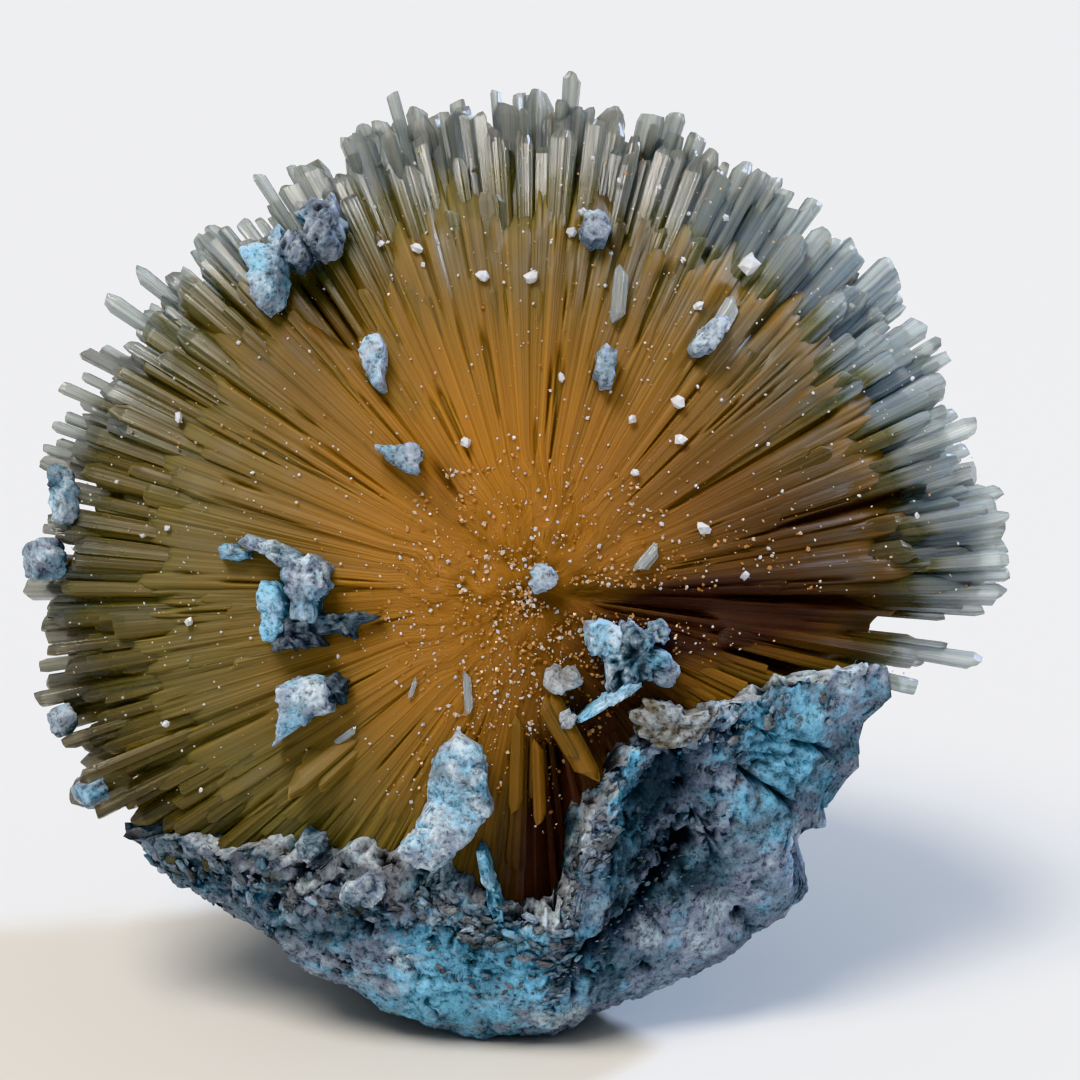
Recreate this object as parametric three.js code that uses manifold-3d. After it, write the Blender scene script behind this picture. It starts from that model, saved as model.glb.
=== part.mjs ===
// A radiating crystal cluster: amber crystals that all grow out of one point, as a ball that is flattened
// on its showy side, where their flanks lie bare. A crust of the clay that they grew in cups it from
// below, and scraps of that clay are still caught among the tips.
// Millimetres, +Z up, the showy side facing -Y. The origin is on the flat spot that the cluster rests
// on, straight below the point that the crystals grow from.
import * as THREE from "three";
import { ConvexHull } from "three/addons/math/ConvexHull.js";
import { mergeVertices } from "three/addons/utils/BufferGeometryUtils.js";
import Module from "manifold-3d";

const wasm = await Module();
wasm.setup();

// ---- driving dimensions ----
const FOCUS = new THREE.Vector3(0, 0, 43); // the point that every crystal grows out of
const FACE_TILT = 14; // the showy side looks up by this many degrees
const REACH = { right: 46, left: 49, up: 48.5, down: 42, front: 16, back: 42 }; // focus to the tips
const ROOTS = 0.83; // share of the reach at which the crystals have grown into one mass
const UNEVEN = 0.12; // how much that share varies from place to place
const FILL = { count: 300, wide: 3.8, thick: 3, slim: 0.3, shortest: 0.9, wander: 0.5, splay: 0.6 };
const SPACING = 1.15; // least distance between two crystals, as a share of their half widths
const SEAT_GAP = 0.4; // clearance between the crystals and the clay that is moulded on them
const SEAT = 0.3; // how far tips reach into a scrap that lies on them, as a share of its thickness

// Where the crystals are shorter: the low right flank, the pit in front of the clay wall and the
// gully at the upper left. depth is a share of the reach and spread is degrees.
const HOLLOWS = [
  { clock: -34, lean: 88, spread: 40, depth: 0.36 },
  { clock: -84, lean: 56, spread: 17, depth: 0.16 },
  { clock: 122, lean: 78, spread: 12, depth: 0.13 },
];
const CLEFT = { clock: -5, halfWidth: 0.075, from: 0.25, depth: 0.3 }; // runs in from the right

// The clay cup by compass turn (0 is right, 270 the front): drop is how far its rim stands up from
// straight below, flank and rim how far its outer face stands off the tips on its way up and at the rim.
const CUP = [
  { turn: 0, drop: 42, flank: -5, rim: -9 },
  { turn: 45, drop: 48, flank: 0, rim: -4 },
  { turn: 90, drop: 55, flank: 1.5, rim: -1.5 },
  { turn: 135, drop: 56, flank: 2, rim: 0 },
  { turn: 175, drop: 58, flank: 2, rim: 0.5 },
  { turn: 189, drop: 60, flank: -0.5, rim: 0.8 },
  { turn: 198, drop: 59, flank: -4, rim: 0.5 },
  { turn: 210, drop: 55, flank: -1, rim: 2 },
  { turn: 222, drop: 50, flank: 1.2, rim: 2.5 },
  { turn: 237, drop: 45, flank: 2.2, rim: 2.5 },
  { turn: 257, drop: 41, flank: 2.5, rim: 2.6 },
  { turn: 278, drop: 39, flank: 2.5, rim: 2.6 },
  { turn: 288, drop: 55, flank: 0.5, rim: 3 },
  { turn: 297, drop: 64, flank: -3, rim: 3 },
  { turn: 308, drop: 71, flank: -4.5, rim: 3 },
  { turn: 317, drop: 76, flank: -5.4, rim: 3 },
  { turn: 327, drop: 80.5, flank: -5.6, rim: 3 },
  { turn: 338, drop: 84, flank: -9, rim: 2.6 },
  { turn: 342, drop: 58, flank: -6, rim: -1 },
  { turn: 347, drop: 45, flank: -4.5, rim: -7 },
];
const CUP_POLE = 2.6; // the same, straight below
const CUP_GRID = { around: 36, down: 5, turned: -2.5 }; // turned so that a column meets the wall's end
const CUP_RELIEF = 2.2; // how far its lumps stand out at the rim
const CUP_HOLLOW = { turn: 308, drop: 56, spread: 19, depth: 2.6 }; // a dent in the wall's outer face

// Cracks in the clay, each a wedge between two places {turn, drop, floor}, floor being how far from
// FOCUS it bottoms out. The first sets off the smooth slab at the low right, the rest run in from the rim.
const CRACKS = [
  { wide: 2.4, ends: [{ turn: 278, drop: 27, floor: 36.5 }, { turn: 315, drop: 47, floor: 30.5 }] },
  { wide: 1.5, ends: [{ turn: 279, drop: 27, floor: 37 }, { turn: 279, drop: 36, floor: 31.5 }] },
  { wide: 1.3, ends: [{ turn: 328, drop: 70, floor: 28.5 }, { turn: 339, drop: 68, floor: 31 }] },
  { wide: 1.3, ends: [{ turn: 321, drop: 62, floor: 27.5 }, { turn: 333, drop: 57, floor: 31.5 }] },
];
const CUP_INNER = { radius: 12, lower: 10 }; // inside the crystals, and this many degrees below the rim

// Crystals that stand clear at the rim of the showy side. clock is degrees anticlockwise from the
// right, lean is degrees away from straight at the viewer, reach, wide and thick are millimetres.
const LEADERS = [
  { clock: 85.5, lean: 88, reach: 51.5, wide: 3, thick: 2 },
  { clock: 91, lean: 84, reach: 47.5, wide: 1.5, thick: 1.2 },
  { clock: 94.5, lean: 92, reach: 45, wide: 2.4, thick: 1.6 },
  { clock: 98, lean: 86, reach: 44.5, wide: 2.3, thick: 1.7 },
  { clock: 103.5, lean: 87, reach: 48, wide: 4.4, thick: 2.2 },
  { clock: 107.5, lean: 83, reach: 47.5, wide: 2.6, thick: 1.8 },
  { clock: 112.5, lean: 86, reach: 48.5, wide: 2.3, thick: 1.8 },
  { clock: 117, lean: 82, reach: 44.5, wide: 2.5, thick: 1.8 },
  { clock: 125, lean: 84, reach: 45, wide: 1.2, thick: 1 },
  { clock: 141, lean: 88, reach: 50.5, wide: 2.6, thick: 1.8 },
  { clock: 145.5, lean: 86, reach: 51, wide: 3, thick: 2 },
  { clock: 152, lean: 88, reach: 50.5, wide: 2.3, thick: 1.7 },
  { clock: 156.5, lean: 84, reach: 50.5, wide: 2.5, thick: 1.7 },
  { clock: 164, lean: 86, reach: 47.5, wide: 2.9, thick: 2 },
  { clock: 171, lean: 84, reach: 47, wide: 2.7, thick: 1.8 },
  { clock: 178, lean: 86, reach: 47, wide: 2.9, thick: 1.9 },
  { clock: 184, lean: 86, reach: 48.5, wide: 2.7, thick: 1.8 },
  { clock: 187, lean: 83, reach: 48, wide: 2, thick: 1.6 },
  { clock: 192.5, lean: 86, reach: 50, wide: 2.5, thick: 1.8 },
  { clock: 198, lean: 84, reach: 48.5, wide: 2.7, thick: 1.9 },
  { clock: 202.5, lean: 80, reach: 48, wide: 2.4, thick: 1.8 },
  { clock: 207, lean: 82, reach: 48, wide: 2.5, thick: 1.8 },
  { clock: 80, lean: 92, reach: 48.5, wide: 3.8, thick: 2.2 },
  { clock: 74.5, lean: 88, reach: 45, wide: 2.2, thick: 1.6 },
  { clock: 67.5, lean: 84, reach: 47, wide: 3.4, thick: 2.2 },
  { clock: 62, lean: 90, reach: 46, wide: 1.9, thick: 1.5 },
  { clock: 59, lean: 86, reach: 46.5, wide: 2.1, thick: 1.6 },
  { clock: 54, lean: 84, reach: 43, wide: 3.2, thick: 2 },
  { clock: 49.5, lean: 91, reach: 45, wide: 2.2, thick: 1.6 },
  { clock: 45.5, lean: 88, reach: 46, wide: 2.8, thick: 1.8 },
  { clock: 40.5, lean: 86, reach: 43.5, wide: 2.1, thick: 1.7 },
  { clock: 32.5, lean: 86, reach: 43.5, wide: 2.3, thick: 1.7 },
  { clock: 26, lean: 84, reach: 45, wide: 2.7, thick: 2 },
  { clock: 20.5, lean: 82, reach: 46.6, wide: 3.5, thick: 2.4 },
  { clock: 12, lean: 86, reach: 47.5, wide: 2.8, thick: 2 },
  { clock: 9, lean: 82, reach: 47.4, wide: 2.8, thick: 2 },
  { clock: 5.5, lean: 86, reach: 47, wide: 2.7, thick: 1.9 },
  { clock: 2, lean: 84, reach: 47, wide: 2.5, thick: 1.8 },
  { clock: -2.5, lean: 89, reach: 45, wide: 2.4, thick: 1.8 },
  { clock: -9, lean: 82, reach: 44.5, wide: 2.9, thick: 2 },
  { clock: -140.5, lean: 66, reach: 32.5, wide: 4.2, thick: 2.6 },
];

// Scraps of clay caught on the tips. Each is one or more rough lumps: along and across are its sizes in
// the plane that lies along the tips, deep is its thickness, turn its tilt in that plane and at its
// offset [along, across].
const SCRAPS = [
  { name: "clay_crust_left", clock: -178, lean: 56, radius: 26.6, lumps: [
    { along: 7.5, across: 8, deep: 4.6, turn: 5, at: [0.6, -0.6] },
    { along: 7, across: 3.2, deep: 3, turn: -38, at: [-2.4, 4.2] },
    { along: 6, across: 2.6, deep: 2.4, turn: 0, at: [5, -2.6] },
  ] },
  { name: "clay_chip_left", clock: -152, lean: 58.5, radius: 27.6, lumps: [
    { along: 6.4, across: 5.6, deep: 2.4, turn: 8, at: [0, 1] },
    { along: 3.4, across: 4.6, deep: 1.8, turn: -20, at: [-2, -2] },
  ] },
  { name: "clay_tongue", clock: -111.5, lean: 54.5, radius: 25.4, lumps: [
    { along: 7.6, across: 8, deep: 4.4, turn: 0, at: [1.2, 3.2] },
    { along: 7, across: 7, deep: 4, turn: 20, at: [-0.8, -2.6] },
  ] },
  { name: "clay_crust_right", clock: -31.5, lean: 35, radius: 19.8, lumps: [
    { along: 7.4, across: 7, deep: 4.2, turn: 10, at: [-0.4, 1.2] },
    { along: 5.2, across: 5.4, deep: 3.4, turn: 0, at: [3, -1] },
    { along: 7, across: 1.8, deep: 2, turn: 28, at: [-3.4, -4.4] },
  ] },
  { name: "clay_wedge_upper", clock: 134, lean: 48.5, radius: 23.4, lumps: [
    { along: 4.6, across: 2.8, deep: 2.4, turn: -14, at: [0, 0] },
  ] },
  { name: "clay_flake_upper", clock: 124.5, lean: 62.5, radius: 30, lumps: [
    { along: 2.4, across: 5, deep: 2.2, turn: -12, at: [0, 0] },
  ] },
  { name: "clay_lump_center", clock: 50, lean: 6, radius: 16.9, lumps: [
    { along: 2.8, across: 2.6, deep: 2.4, turn: 0, at: [0, 0] },
  ] },
  { name: "clay_block_upper_left", clock: 129, lean: 75.5, radius: 40.6, lumps: [
    { along: 4.6, across: 7, deep: 5, turn: 24, at: [-1.2, 0] },
    { along: 3.4, across: 3, deep: 3, turn: 0, at: [1.8, 2.4] },
  ] },
  { name: "clay_crust_upper_left", clock: 120, lean: 77, radius: 41.4, lumps: [
    { along: 4.4, across: 4, deep: 5, turn: 0, at: [0, 0] },
  ] },
  { name: "clay_lump_far_left", clock: 176.5, lean: 84, radius: 48, lumps: [
    { along: 4.2, across: 5, deep: 4, turn: -30, at: [0, 0] },
  ] },
  { name: "clay_rind_far_left", clock: 168.5, lean: 83, radius: 47.2, lumps: [
    { along: 2.2, across: 6.4, deep: 2.8, turn: -8, at: [0, 0] },
  ] },
  { name: "clay_lump_low_left", clock: -155.5, lean: 86.5, radius: 48, lumps: [
    { along: 3.8, across: 3, deep: 3.4, turn: -15, at: [0, 0] },
  ] },
  { name: "clay_crumb_low_left", clock: -164.5, lean: 85.5, radius: 48.2, lumps: [
    { along: 2.8, across: 3.2, deep: 3, turn: 10, at: [0, 0] },
  ] },
  { name: "clay_flake_upper_middle", clock: 72, lean: 57, radius: 26.8, lumps: [
    { along: 2.2, across: 4.4, deep: 2.2, turn: 5, at: [0, 0] },
  ] },
  { name: "clay_flake_upper_right", clock: 55.5, lean: 66, radius: 32.3, lumps: [
    { along: 4, across: 3, deep: 2.4, turn: 30, at: [0, 0] },
  ] },
  { name: "clay_crumb_top", clock: 80, lean: 72, radius: 37, lumps: [
    { along: 3.2, across: 3.8, deep: 2.6, turn: -30, at: [0, 0] },
  ] },
  { name: "clay_lump_right", clock: -42.5, lean: 51.5, radius: 24.2, lumps: [
    { along: 6.4, across: 3.8, deep: 3.6, turn: 18, at: [0, 0] },
  ] },
  { name: "clay_crumb_low_middle", clock: -73.5, lean: 30, radius: 18.8, lumps: [
    { along: 4, across: 2.8, deep: 2.4, turn: -20, at: [0, 0] },
  ] },
];

// A length of crystal that has snapped off and lies caught among the others.
const BROKEN = { clock: -73, lean: 44.5, radius: 21.8, long: 8.5, wide: 3, thick: 2.2, turn: -58 };

const COLOURS = { crystal: 0xb57a2c, clay: 0x8d9aa0, broken: 0xb89a62 };

// ---- small helpers ----
const RAD = Math.PI / 180;
const UP = new THREE.Vector3(0, 0, 1);
const frac = (x) => x - Math.floor(x);
const scatter = (i, k) => frac(Math.sin(i * 12.9898 + k * 78.233) * 43758.5453); // 0 to 1, by two numbers
const smooth = (x) => {
  const t = Math.min(1, Math.max(0, x));
  return t * t * (3 - 2 * t);
};

// The unit vector at a clock and lean, seen from the showy side.
function facing(clock, lean) {
  const across = Math.sin(lean * RAD);
  const d = new THREE.Vector3(
    across * Math.cos(clock * RAD),
    -Math.cos(lean * RAD),
    across * Math.sin(clock * RAD),
  );
  return d.applyAxisAngle(new THREE.Vector3(1, 0, 0), -FACE_TILT * RAD);
}

// The unit vector at a compass turn and a drop angle up from straight below.
function below(turn, drop) {
  const out = Math.sin(drop * RAD);
  return new THREE.Vector3(
    out * Math.cos(turn * RAD),
    out * Math.sin(turn * RAD),
    -Math.cos(drop * RAD),
  );
}

const alongFrom = (direction, distance) => FOCUS.clone().addScaledVector(direction, distance);

// A closed geometry as a solid, with its shared vertices merged.
function solidOf(geometry) {
  const bare = geometry.clone();
  for (const name of Object.keys(bare.attributes)) {
    if (name !== "position") bare.deleteAttribute(name);
  }
  const merged = mergeVertices(bare, 1e-4);
  return new wasm.Manifold(
    new wasm.Mesh({
      numProp: 3,
      vertProperties: merged.attributes.position.array,
      triVerts: new Uint32Array(merged.index.array),
    }),
  );
}

const joined = (solids) => solids.reduce((whole, solid) => whole.add(solid));
const largest = (solid) => solid.decompose().sort((a, b) => b.volume() - a.volume())[0];

function meshOf(name, solid, colour, roughness) {
  const { vertProperties, triVerts } = solid.getMesh();
  const geometry = new THREE.BufferGeometry();
  geometry.setAttribute("position", new THREE.BufferAttribute(vertProperties, 3));
  geometry.setIndex(new THREE.BufferAttribute(triVerts, 1));
  geometry.computeVertexNormals();
  const material = new THREE.MeshStandardMaterial({ color: colour, roughness, metalness: 0 });
  const mesh = new THREE.Mesh(geometry, material);
  mesh.name = name;
  return mesh;
}

// Rings of equal count joined side to side, with a flat fan at each end.
function loft(rings) {
  const around = rings[0].length;
  const index = [];
  for (let level = 0; level + 1 < rings.length; level += 1) {
    for (let i = 0; i < around; i += 1) {
      const a = level * around + i;
      const b = level * around + ((i + 1) % around);
      index.push(a, b, b + around, a, b + around, a + around);
    }
  }
  const top = (rings.length - 1) * around;
  for (let i = 1; i + 1 < around; i += 1) {
    index.push(0, i + 1, i, top, top + i, top + i + 1);
  }
  const geometry = new THREE.BufferGeometry();
  const flat = rings.flat().flatMap((p) => [p.x, p.y, p.z]);
  geometry.setAttribute("position", new THREE.Float32BufferAttribute(flat, 3));
  geometry.setIndex(index);
  return geometry;
}

// ---- the crystals ----

const cleftSide = facing(CLEFT.clock + 90, 90);
const cleftRun = facing(CLEFT.clock, 62);

// How much of a direction lies in the cleft, 0 to 1.
function inCleft(d) {
  const off = d.dot(cleftSide) / CLEFT.halfWidth;
  return Math.exp(-off * off) * smooth((d.dot(cleftRun) - CLEFT.from) / 0.5);
}

// The ball's own axes: X, the way the showy side faces and the way up along it.
const ballAxes = [new THREE.Vector3(1, 0, 0), facing(0, 0), facing(90, 90)];
const ballReach = [[REACH.right, REACH.left], [REACH.front, REACH.back], [REACH.up, REACH.down]];

// A direction along the ball's axes, each as a share of the reach on that side.
const shareOf = (d) =>
  ballAxes.map((axis, k) => d.dot(axis) / ballReach[k][d.dot(axis) > 0 ? 0 : 1]);

// Distance from FOCUS to an ellipsoid with its own reach each way.
const ellipsoidAt = (d) => 1 / Math.hypot(...shareOf(d));

// Distance from FOCUS to the tips: the ellipsoid, less the hollows.
function reachTo(d) {
  const left = HOLLOWS.reduce((share, { clock, lean, spread, depth }) => {
    const away = d.angleTo(facing(clock, lean)) / RAD;
    return share * (1 - depth * (1 - smooth(away / spread)));
  }, 1);
  return left * ellipsoidAt(d);
}

// The way that the ellipsoid's surface faces in a direction.
function surfaceFacing(d) {
  const normal = new THREE.Vector3();
  shareOf(d).forEach((share, k) => {
    normal.addScaledVector(ballAxes[k], share / ballReach[k][d.dot(ballAxes[k]) > 0 ? 0 : 1]);
  });
  return normal.normalize();
}

// The cup at a compass turn, eased between the stated ones: {drop, flank, rim}.
function cupAt(turn) {
  const t = ((turn % 360) + 360) % 360;
  const next = CUP.findIndex((c) => c.turn > t);
  const b = CUP[next === -1 ? 0 : next];
  const a = CUP[next === -1 ? CUP.length - 1 : next - 1];
  const share = smooth((t - a.turn) / ((b.turn + 360 - a.turn) % 360));
  const between = (key) => a[key] + (b[key] - a[key]) * share;
  return { drop: between("drop"), flank: between("flank"), rim: between("rim") };
}
const turnOf = (d) => Math.atan2(d.y, d.x) / RAD;
const dropOf = (d) => Math.acos(-d.z) / RAD;

// The frame of a place on the showy side: its X to the right, its Z out of the surface of the tips.
function placeAt(clock, lean, radius) {
  const way = facing(clock, lean);
  const out = surfaceFacing(way);
  const right = new THREE.Vector3(1, 0, 0).addScaledVector(out, -out.x).normalize();
  const up = out.clone().cross(right);
  return new THREE.Matrix4().makeBasis(right, up, out).setPosition(alongFrom(way, radius));
}

// What lies on the tips, each with the direction of its middle and the share of their reach that the
// tips under it come to.
const seats = [...SCRAPS, BROKEN].map(({ clock, lean, radius, lumps, long, wide, thick }) => {
  const { along, across, deep, at } = lumps?.[0] ?? { along: long, across: wide, deep: thick, at: [0, 0] };
  const inside = new THREE.Vector3(at[0], at[1], -deep * (0.5 - SEAT));
  const middle = inside.applyMatrix4(placeAt(clock, lean, radius)).sub(FOCUS);
  const direction = middle.clone().normalize();
  return {
    direction,
    share: middle.length() / reachTo(direction),
    across: Math.min(along, across),
    span: lumps ? Math.max(along, across) / 2 + 1 : 0,
  };
});

// Every crystal, as its direction, its reach, its section and the slant of its end face. The leaders
// come first, next one that carries each thing lying on the tips, then the fill: directions spread
// evenly over the ball, splayed outwards on the showy side and nudged. Those that the cup covers or
// that lie in the cleft carry no crystal and only give the mass its shape.
function crystalList() {
  const crystals = LEADERS.map(({ clock, lean, reach, wide, thick }, i) => ({
    direction: facing(clock, lean),
    to: reach,
    wide,
    thick,
    sides: 6,
    spin: scatter(i, 9) * Math.PI,
    slant: scatter(i, 10) - 0.5,
  }));
  const clear = (d, half) =>
    crystals.every((c) => c.direction.angleTo(d) > SPACING * (half + c.wide / c.to / 2));
  seats.forEach(({ direction, share, across }, i) => {
    const wide = Math.min(2.8, across * 0.6);
    const to = reachTo(direction) * share;
    if (!clear(direction, wide / to / 2)) return;
    crystals.push({ direction, to, wide, thick: wide * 0.8, sides: 5, spin: i, slant: 0.2 });
  });
  const bare = [];
  const spacing = Math.sqrt((4 * Math.PI) / FILL.count) * FILL.wander;
  for (let i = 0; i < FILL.count; i += 1) {
    const z = 1 - (2 * (i + 0.5)) / FILL.count;
    const turn = i * Math.PI * (3 - Math.sqrt(5));
    const out = Math.sqrt(1 - z * z);
    const d = new THREE.Vector3(
      out * Math.cos(turn) + (scatter(i, 1) - 0.5) * spacing,
      out * Math.sin(turn) + (scatter(i, 2) - 0.5) * spacing,
      z + (scatter(i, 3) - 0.5) * spacing,
    );
    const ahead = Math.max(0, d.dot(ballAxes[1]));
    d.addScaledVector(ballAxes[1], (FILL.splay - 1) * ahead).normalize();
    const reach = reachTo(d);
    const seat = seats.find(({ direction, span }) => d.angleTo(direction) * reach < span);
    const share = seat ? seat.share : FILL.shortest + (1 - FILL.shortest) * scatter(i, 4);
    const to = reach * share;
    const slim = Math.min(1, FILL.slim + (1 - FILL.slim) * (to / REACH.down));
    const size = (0.7 + 0.6 * scatter(i, 5)) * slim;
    if (!clear(d, (FILL.wide * size) / to / 2)) continue;
    if (dropOf(d) < cupAt(turnOf(d)).drop - 4 || inCleft(d) > 0.45) {
      bare.push(d);
      continue;
    }
    crystals.push({
      direction: d,
      to,
      wide: FILL.wide * size,
      thick: FILL.thick * size,
      sides: scatter(i, 6) < 0.6 ? 4 : 5,
      spin: scatter(i, 7) * Math.PI,
      slant: 1.2 * (scatter(i, 8) - 0.5),
    });
  }
  return { crystals, bare };
}

// A crystal's section at a height along it. The section widens with the height, so that no two
// crystals meet. tipped slants it as the end face is, and grow stands it off all round.
function section({ direction, to, wide, thick, sides, spin, slant }, height, tipped, grow = 0) {
  const start = Math.abs(direction.z) < 0.9 ? UP : new THREE.Vector3(1, 0, 0);
  const side = start.clone().cross(direction).normalize().applyAxisAngle(direction, spin);
  const other = direction.clone().cross(side);
  return Array.from({ length: sides }, (_, i) => {
    const angle = (i * 2 * Math.PI) / sides;
    const x = (Math.cos(angle) * wide) / 2;
    const y = (Math.sin(angle) * thick) / 2;
    const up = height + grow + (tipped ? slant * x : 0);
    const share = (up / to) * (1 + grow / Math.hypot(x, y));
    return alongFrom(direction, up)
      .addScaledVector(side, x * share)
      .addScaledVector(other, y * share);
  });
}

// The mass that the crystals' roots have grown into. Its points are the corners of each crystal's
// section and the bare directions, and its faces are those of their convex hull on the unit sphere,
// where the round sections lie flat. Returned as points, with the crystal that each belongs to.
function rootPoints({ crystals, bare }, grow = 0) {
  const points = [];
  const add = (on, flat, owner) => {
    const way = flat.clone().sub(FOCUS).normalize();
    const uneven = 1 + UNEVEN * (scatter(points.length, 11) - 0.5);
    const cleft = 1 - CLEFT.depth * inCleft(way);
    const at = alongFrom(way, reachTo(way) * ROOTS * uneven * cleft + grow);
    points.push({ on, at, owner });
  };
  crystals.forEach((c, owner) => {
    const round = section({ ...c, thick: c.wide }, 1, false);
    const flat = section(c, 1, false);
    round.forEach((p, i) => add(p.sub(FOCUS).normalize(), flat[i], owner));
  });
  bare.forEach((d) => add(d, alongFrom(d, 1), -1));
  return points;
}

function hullFaces(points) {
  const order = new Map(points.map(({ on }, i) => [on, i]));
  return new ConvexHull().setFromPoints(points.map(({ on }) => on)).faces.map((face) => {
    const { edge } = face;
    return [edge, edge.next, edge.next.next].map((e) => order.get(e.head().point));
  });
}

function geometryOf(points, faces) {
  const geometry = new THREE.BufferGeometry();
  const flat = points.flatMap((p) => [p.x, p.y, p.z]);
  geometry.setAttribute("position", new THREE.Float32BufferAttribute(flat, 3));
  geometry.setIndex(faces.flat());
  return geometry;
}

// The spray: the mass with a prism drawn up out of it at every crystal's section.
function spray(list) {
  const roots = rootPoints(list);
  const points = roots.map(({ at }) => at);
  const faces = hullFaces(roots).filter(([a, b, c]) => {
    const { owner } = roots[a];
    return owner < 0 || roots[b].owner !== owner || roots[c].owner !== owner;
  });
  let root = 0;
  for (const c of list.crystals) {
    const tip = points.length;
    points.push(...section(c, c.to, true));
    for (let i = 0; i < c.sides; i += 1) {
      const next = (i + 1) % c.sides;
      faces.push([root + i, root + next, tip + next], [root + i, tip + next, tip + i]);
      if (i > 1) faces.push([tip, tip + i - 1, tip + i]);
    }
    root += c.sides;
  }
  return solidOf(geometryOf(points, faces));
}

// The same, larger all round by a clearance and made of overlapping pieces, to cut the clay with.
function mould(list, grow) {
  const roots = rootPoints(list, grow);
  const mass = solidOf(geometryOf(roots.map(({ at }) => at), hullFaces(roots)));
  const prisms = list.crystals.map((c) =>
    solidOf(loft([section(c, c.to * 0.6, false, grow), section(c, c.to, true, grow)])),
  );
  return joined([mass, ...prisms]);
}

// ---- the clay ----

// The cup: a grid over the drop and the turn, out along its lumpy outer face, over the rim and back
// along an inner face that the crystals then cut away. The flat spot is cut level with the ground.
function cup() {
  const { around, down, turned } = CUP_GRID;
  const ring = (pointAt) =>
    Array.from({ length: around }, (_, i) => {
      const turn = (i * 360) / around + turned;
      return pointAt(i, turn, cupAt(turn));
    });
  const dented = below(CUP_HOLLOW.turn, CUP_HOLLOW.drop);
  const rings = [];
  for (let j = 0; j <= down; j += 1) {
    const share = (j + 0.5) / (down + 0.5);
    rings.push(
      ring((i, turn, { drop, flank, rim }) => {
        const off =
          (1 - share) * (1 - share) * CUP_POLE + 2 * share * (1 - share) * flank + share * share * rim;
        const lump = CUP_RELIEF * (scatter(i, 20 + j) - 0.5) * smooth(share * 2);
        const ragged = j === down ? 5 * (scatter(i, 40) - 0.5) : 0;
        const way = below(turn, drop * share + ragged);
        const dent = CUP_HOLLOW.depth * (1 - smooth(way.angleTo(dented) / RAD / CUP_HOLLOW.spread));
        return alongFrom(way, ellipsoidAt(way) + off + lump - dent);
      }),
    );
  }
  for (const share of [1, 0.4]) {
    const { radius, lower } = CUP_INNER;
    rings.push(ring((i, turn, { drop }) => alongFrom(below(turn, (drop - lower) * share), radius)));
  }
  return solidOf(loft(rings));
}

// The wedge that a crack takes out of the cup.
function crack({ ends, wide }) {
  const [a, b] = ends.map(({ turn, drop }) => below(turn, drop));
  const across = a.clone().cross(b).normalize();
  const section = (way, floor) =>
    [[floor, -0.3], [floor, 0.3], [60, 1.2], [60, -1.2]].map(([radius, share]) =>
      alongFrom(way, radius).addScaledVector(across, wide * share),
    );
  return solidOf(loft([section(a, ends[0].floor), section(b, ends[1].floor)]));
}

// One rough lump of a scrap, in the plane along the tips at its place.
function lump({ along, across, deep, turn, at }, seed, place, grow) {
  const stone = new THREE.IcosahedronGeometry(1, along * across > 12 ? 1 : 0);
  stone.deleteAttribute("normal");
  stone.deleteAttribute("uv");
  const rough = mergeVertices(stone, 1e-4);
  const p = new THREE.Vector3();
  for (let i = 0; i < rough.attributes.position.count; i += 1) {
    p.fromBufferAttribute(rough.attributes.position, i);
    const size = 0.88 + 0.3 * scatter(i, seed);
    rough.attributes.position.setXYZ(
      i,
      p.x * (along / 2 + grow) * size,
      p.y * (across / 2 + grow) * size,
      p.z * (deep / 2 + grow) * size,
    );
  }
  rough.rotateZ(turn * RAD);
  rough.translate(at[0], at[1], 0);
  rough.applyMatrix4(place);
  return solidOf(rough);
}

function scrap({ clock, lean, radius, lumps }, seed, grow = 0) {
  const place = placeAt(clock, lean, radius);
  return joined(lumps.map((l, i) => lump(l, seed * 7 + i, place, grow)));
}

// The snapped crystal: a six-sided prism, slanted at both ends.
function brokenCrystal(grow = 0) {
  const { clock, lean, radius, long, wide, thick, turn } = BROKEN;
  const ring = (z, slant) =>
    Array.from({ length: 6 }, (_, i) => {
      const x = Math.cos((i * Math.PI) / 3) * (wide / 2 + grow);
      return new THREE.Vector3(x, Math.sin((i * Math.PI) / 3) * (thick / 2 + grow), z + slant * x);
    });
  const geometry = loft([ring(-long / 2 - grow, 0.5), ring(long / 2 + grow, -0.35)]);
  geometry.rotateY(90 * RAD);
  geometry.rotateZ(turn * RAD);
  geometry.applyMatrix4(placeAt(clock, lean, radius));
  return solidOf(geometry);
}

// ---- the cluster ----
const group = new THREE.Group();
const list = crystalList();
const moulded = mould(list, SEAT_GAP); // what the clay and the snapped piece are cut with
group.add(meshOf("crystal_spray", spray(list), COLOURS.crystal, 0.2));

const ground = new THREE.BoxGeometry(200, 200, 40).translate(0, 0, -20);
const looseOnes = SCRAPS.map((s, i) => scrap(s, i + 3, SEAT_GAP)).concat(brokenCrystal(SEAT_GAP));
const missing = [solidOf(ground), moulded, ...CRACKS.map(crack), ...looseOnes];
const base = cup().subtract(joined(missing));
group.add(meshOf("clay_cup", largest(base), COLOURS.clay, 0.9));

let taken = moulded; // grows by each scrap, so that no two touch
SCRAPS.forEach((s, i) => {
  const piece = largest(scrap(s, i + 3).subtract(taken));
  taken = taken.add(scrap(s, i + 3, SEAT_GAP));
  group.add(meshOf(s.name, piece, COLOURS.clay, 0.9));
});
const snapped = largest(brokenCrystal().subtract(taken));
group.add(meshOf("snapped_crystal", snapped, COLOURS.broken, 0.2));

export default group;
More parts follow.
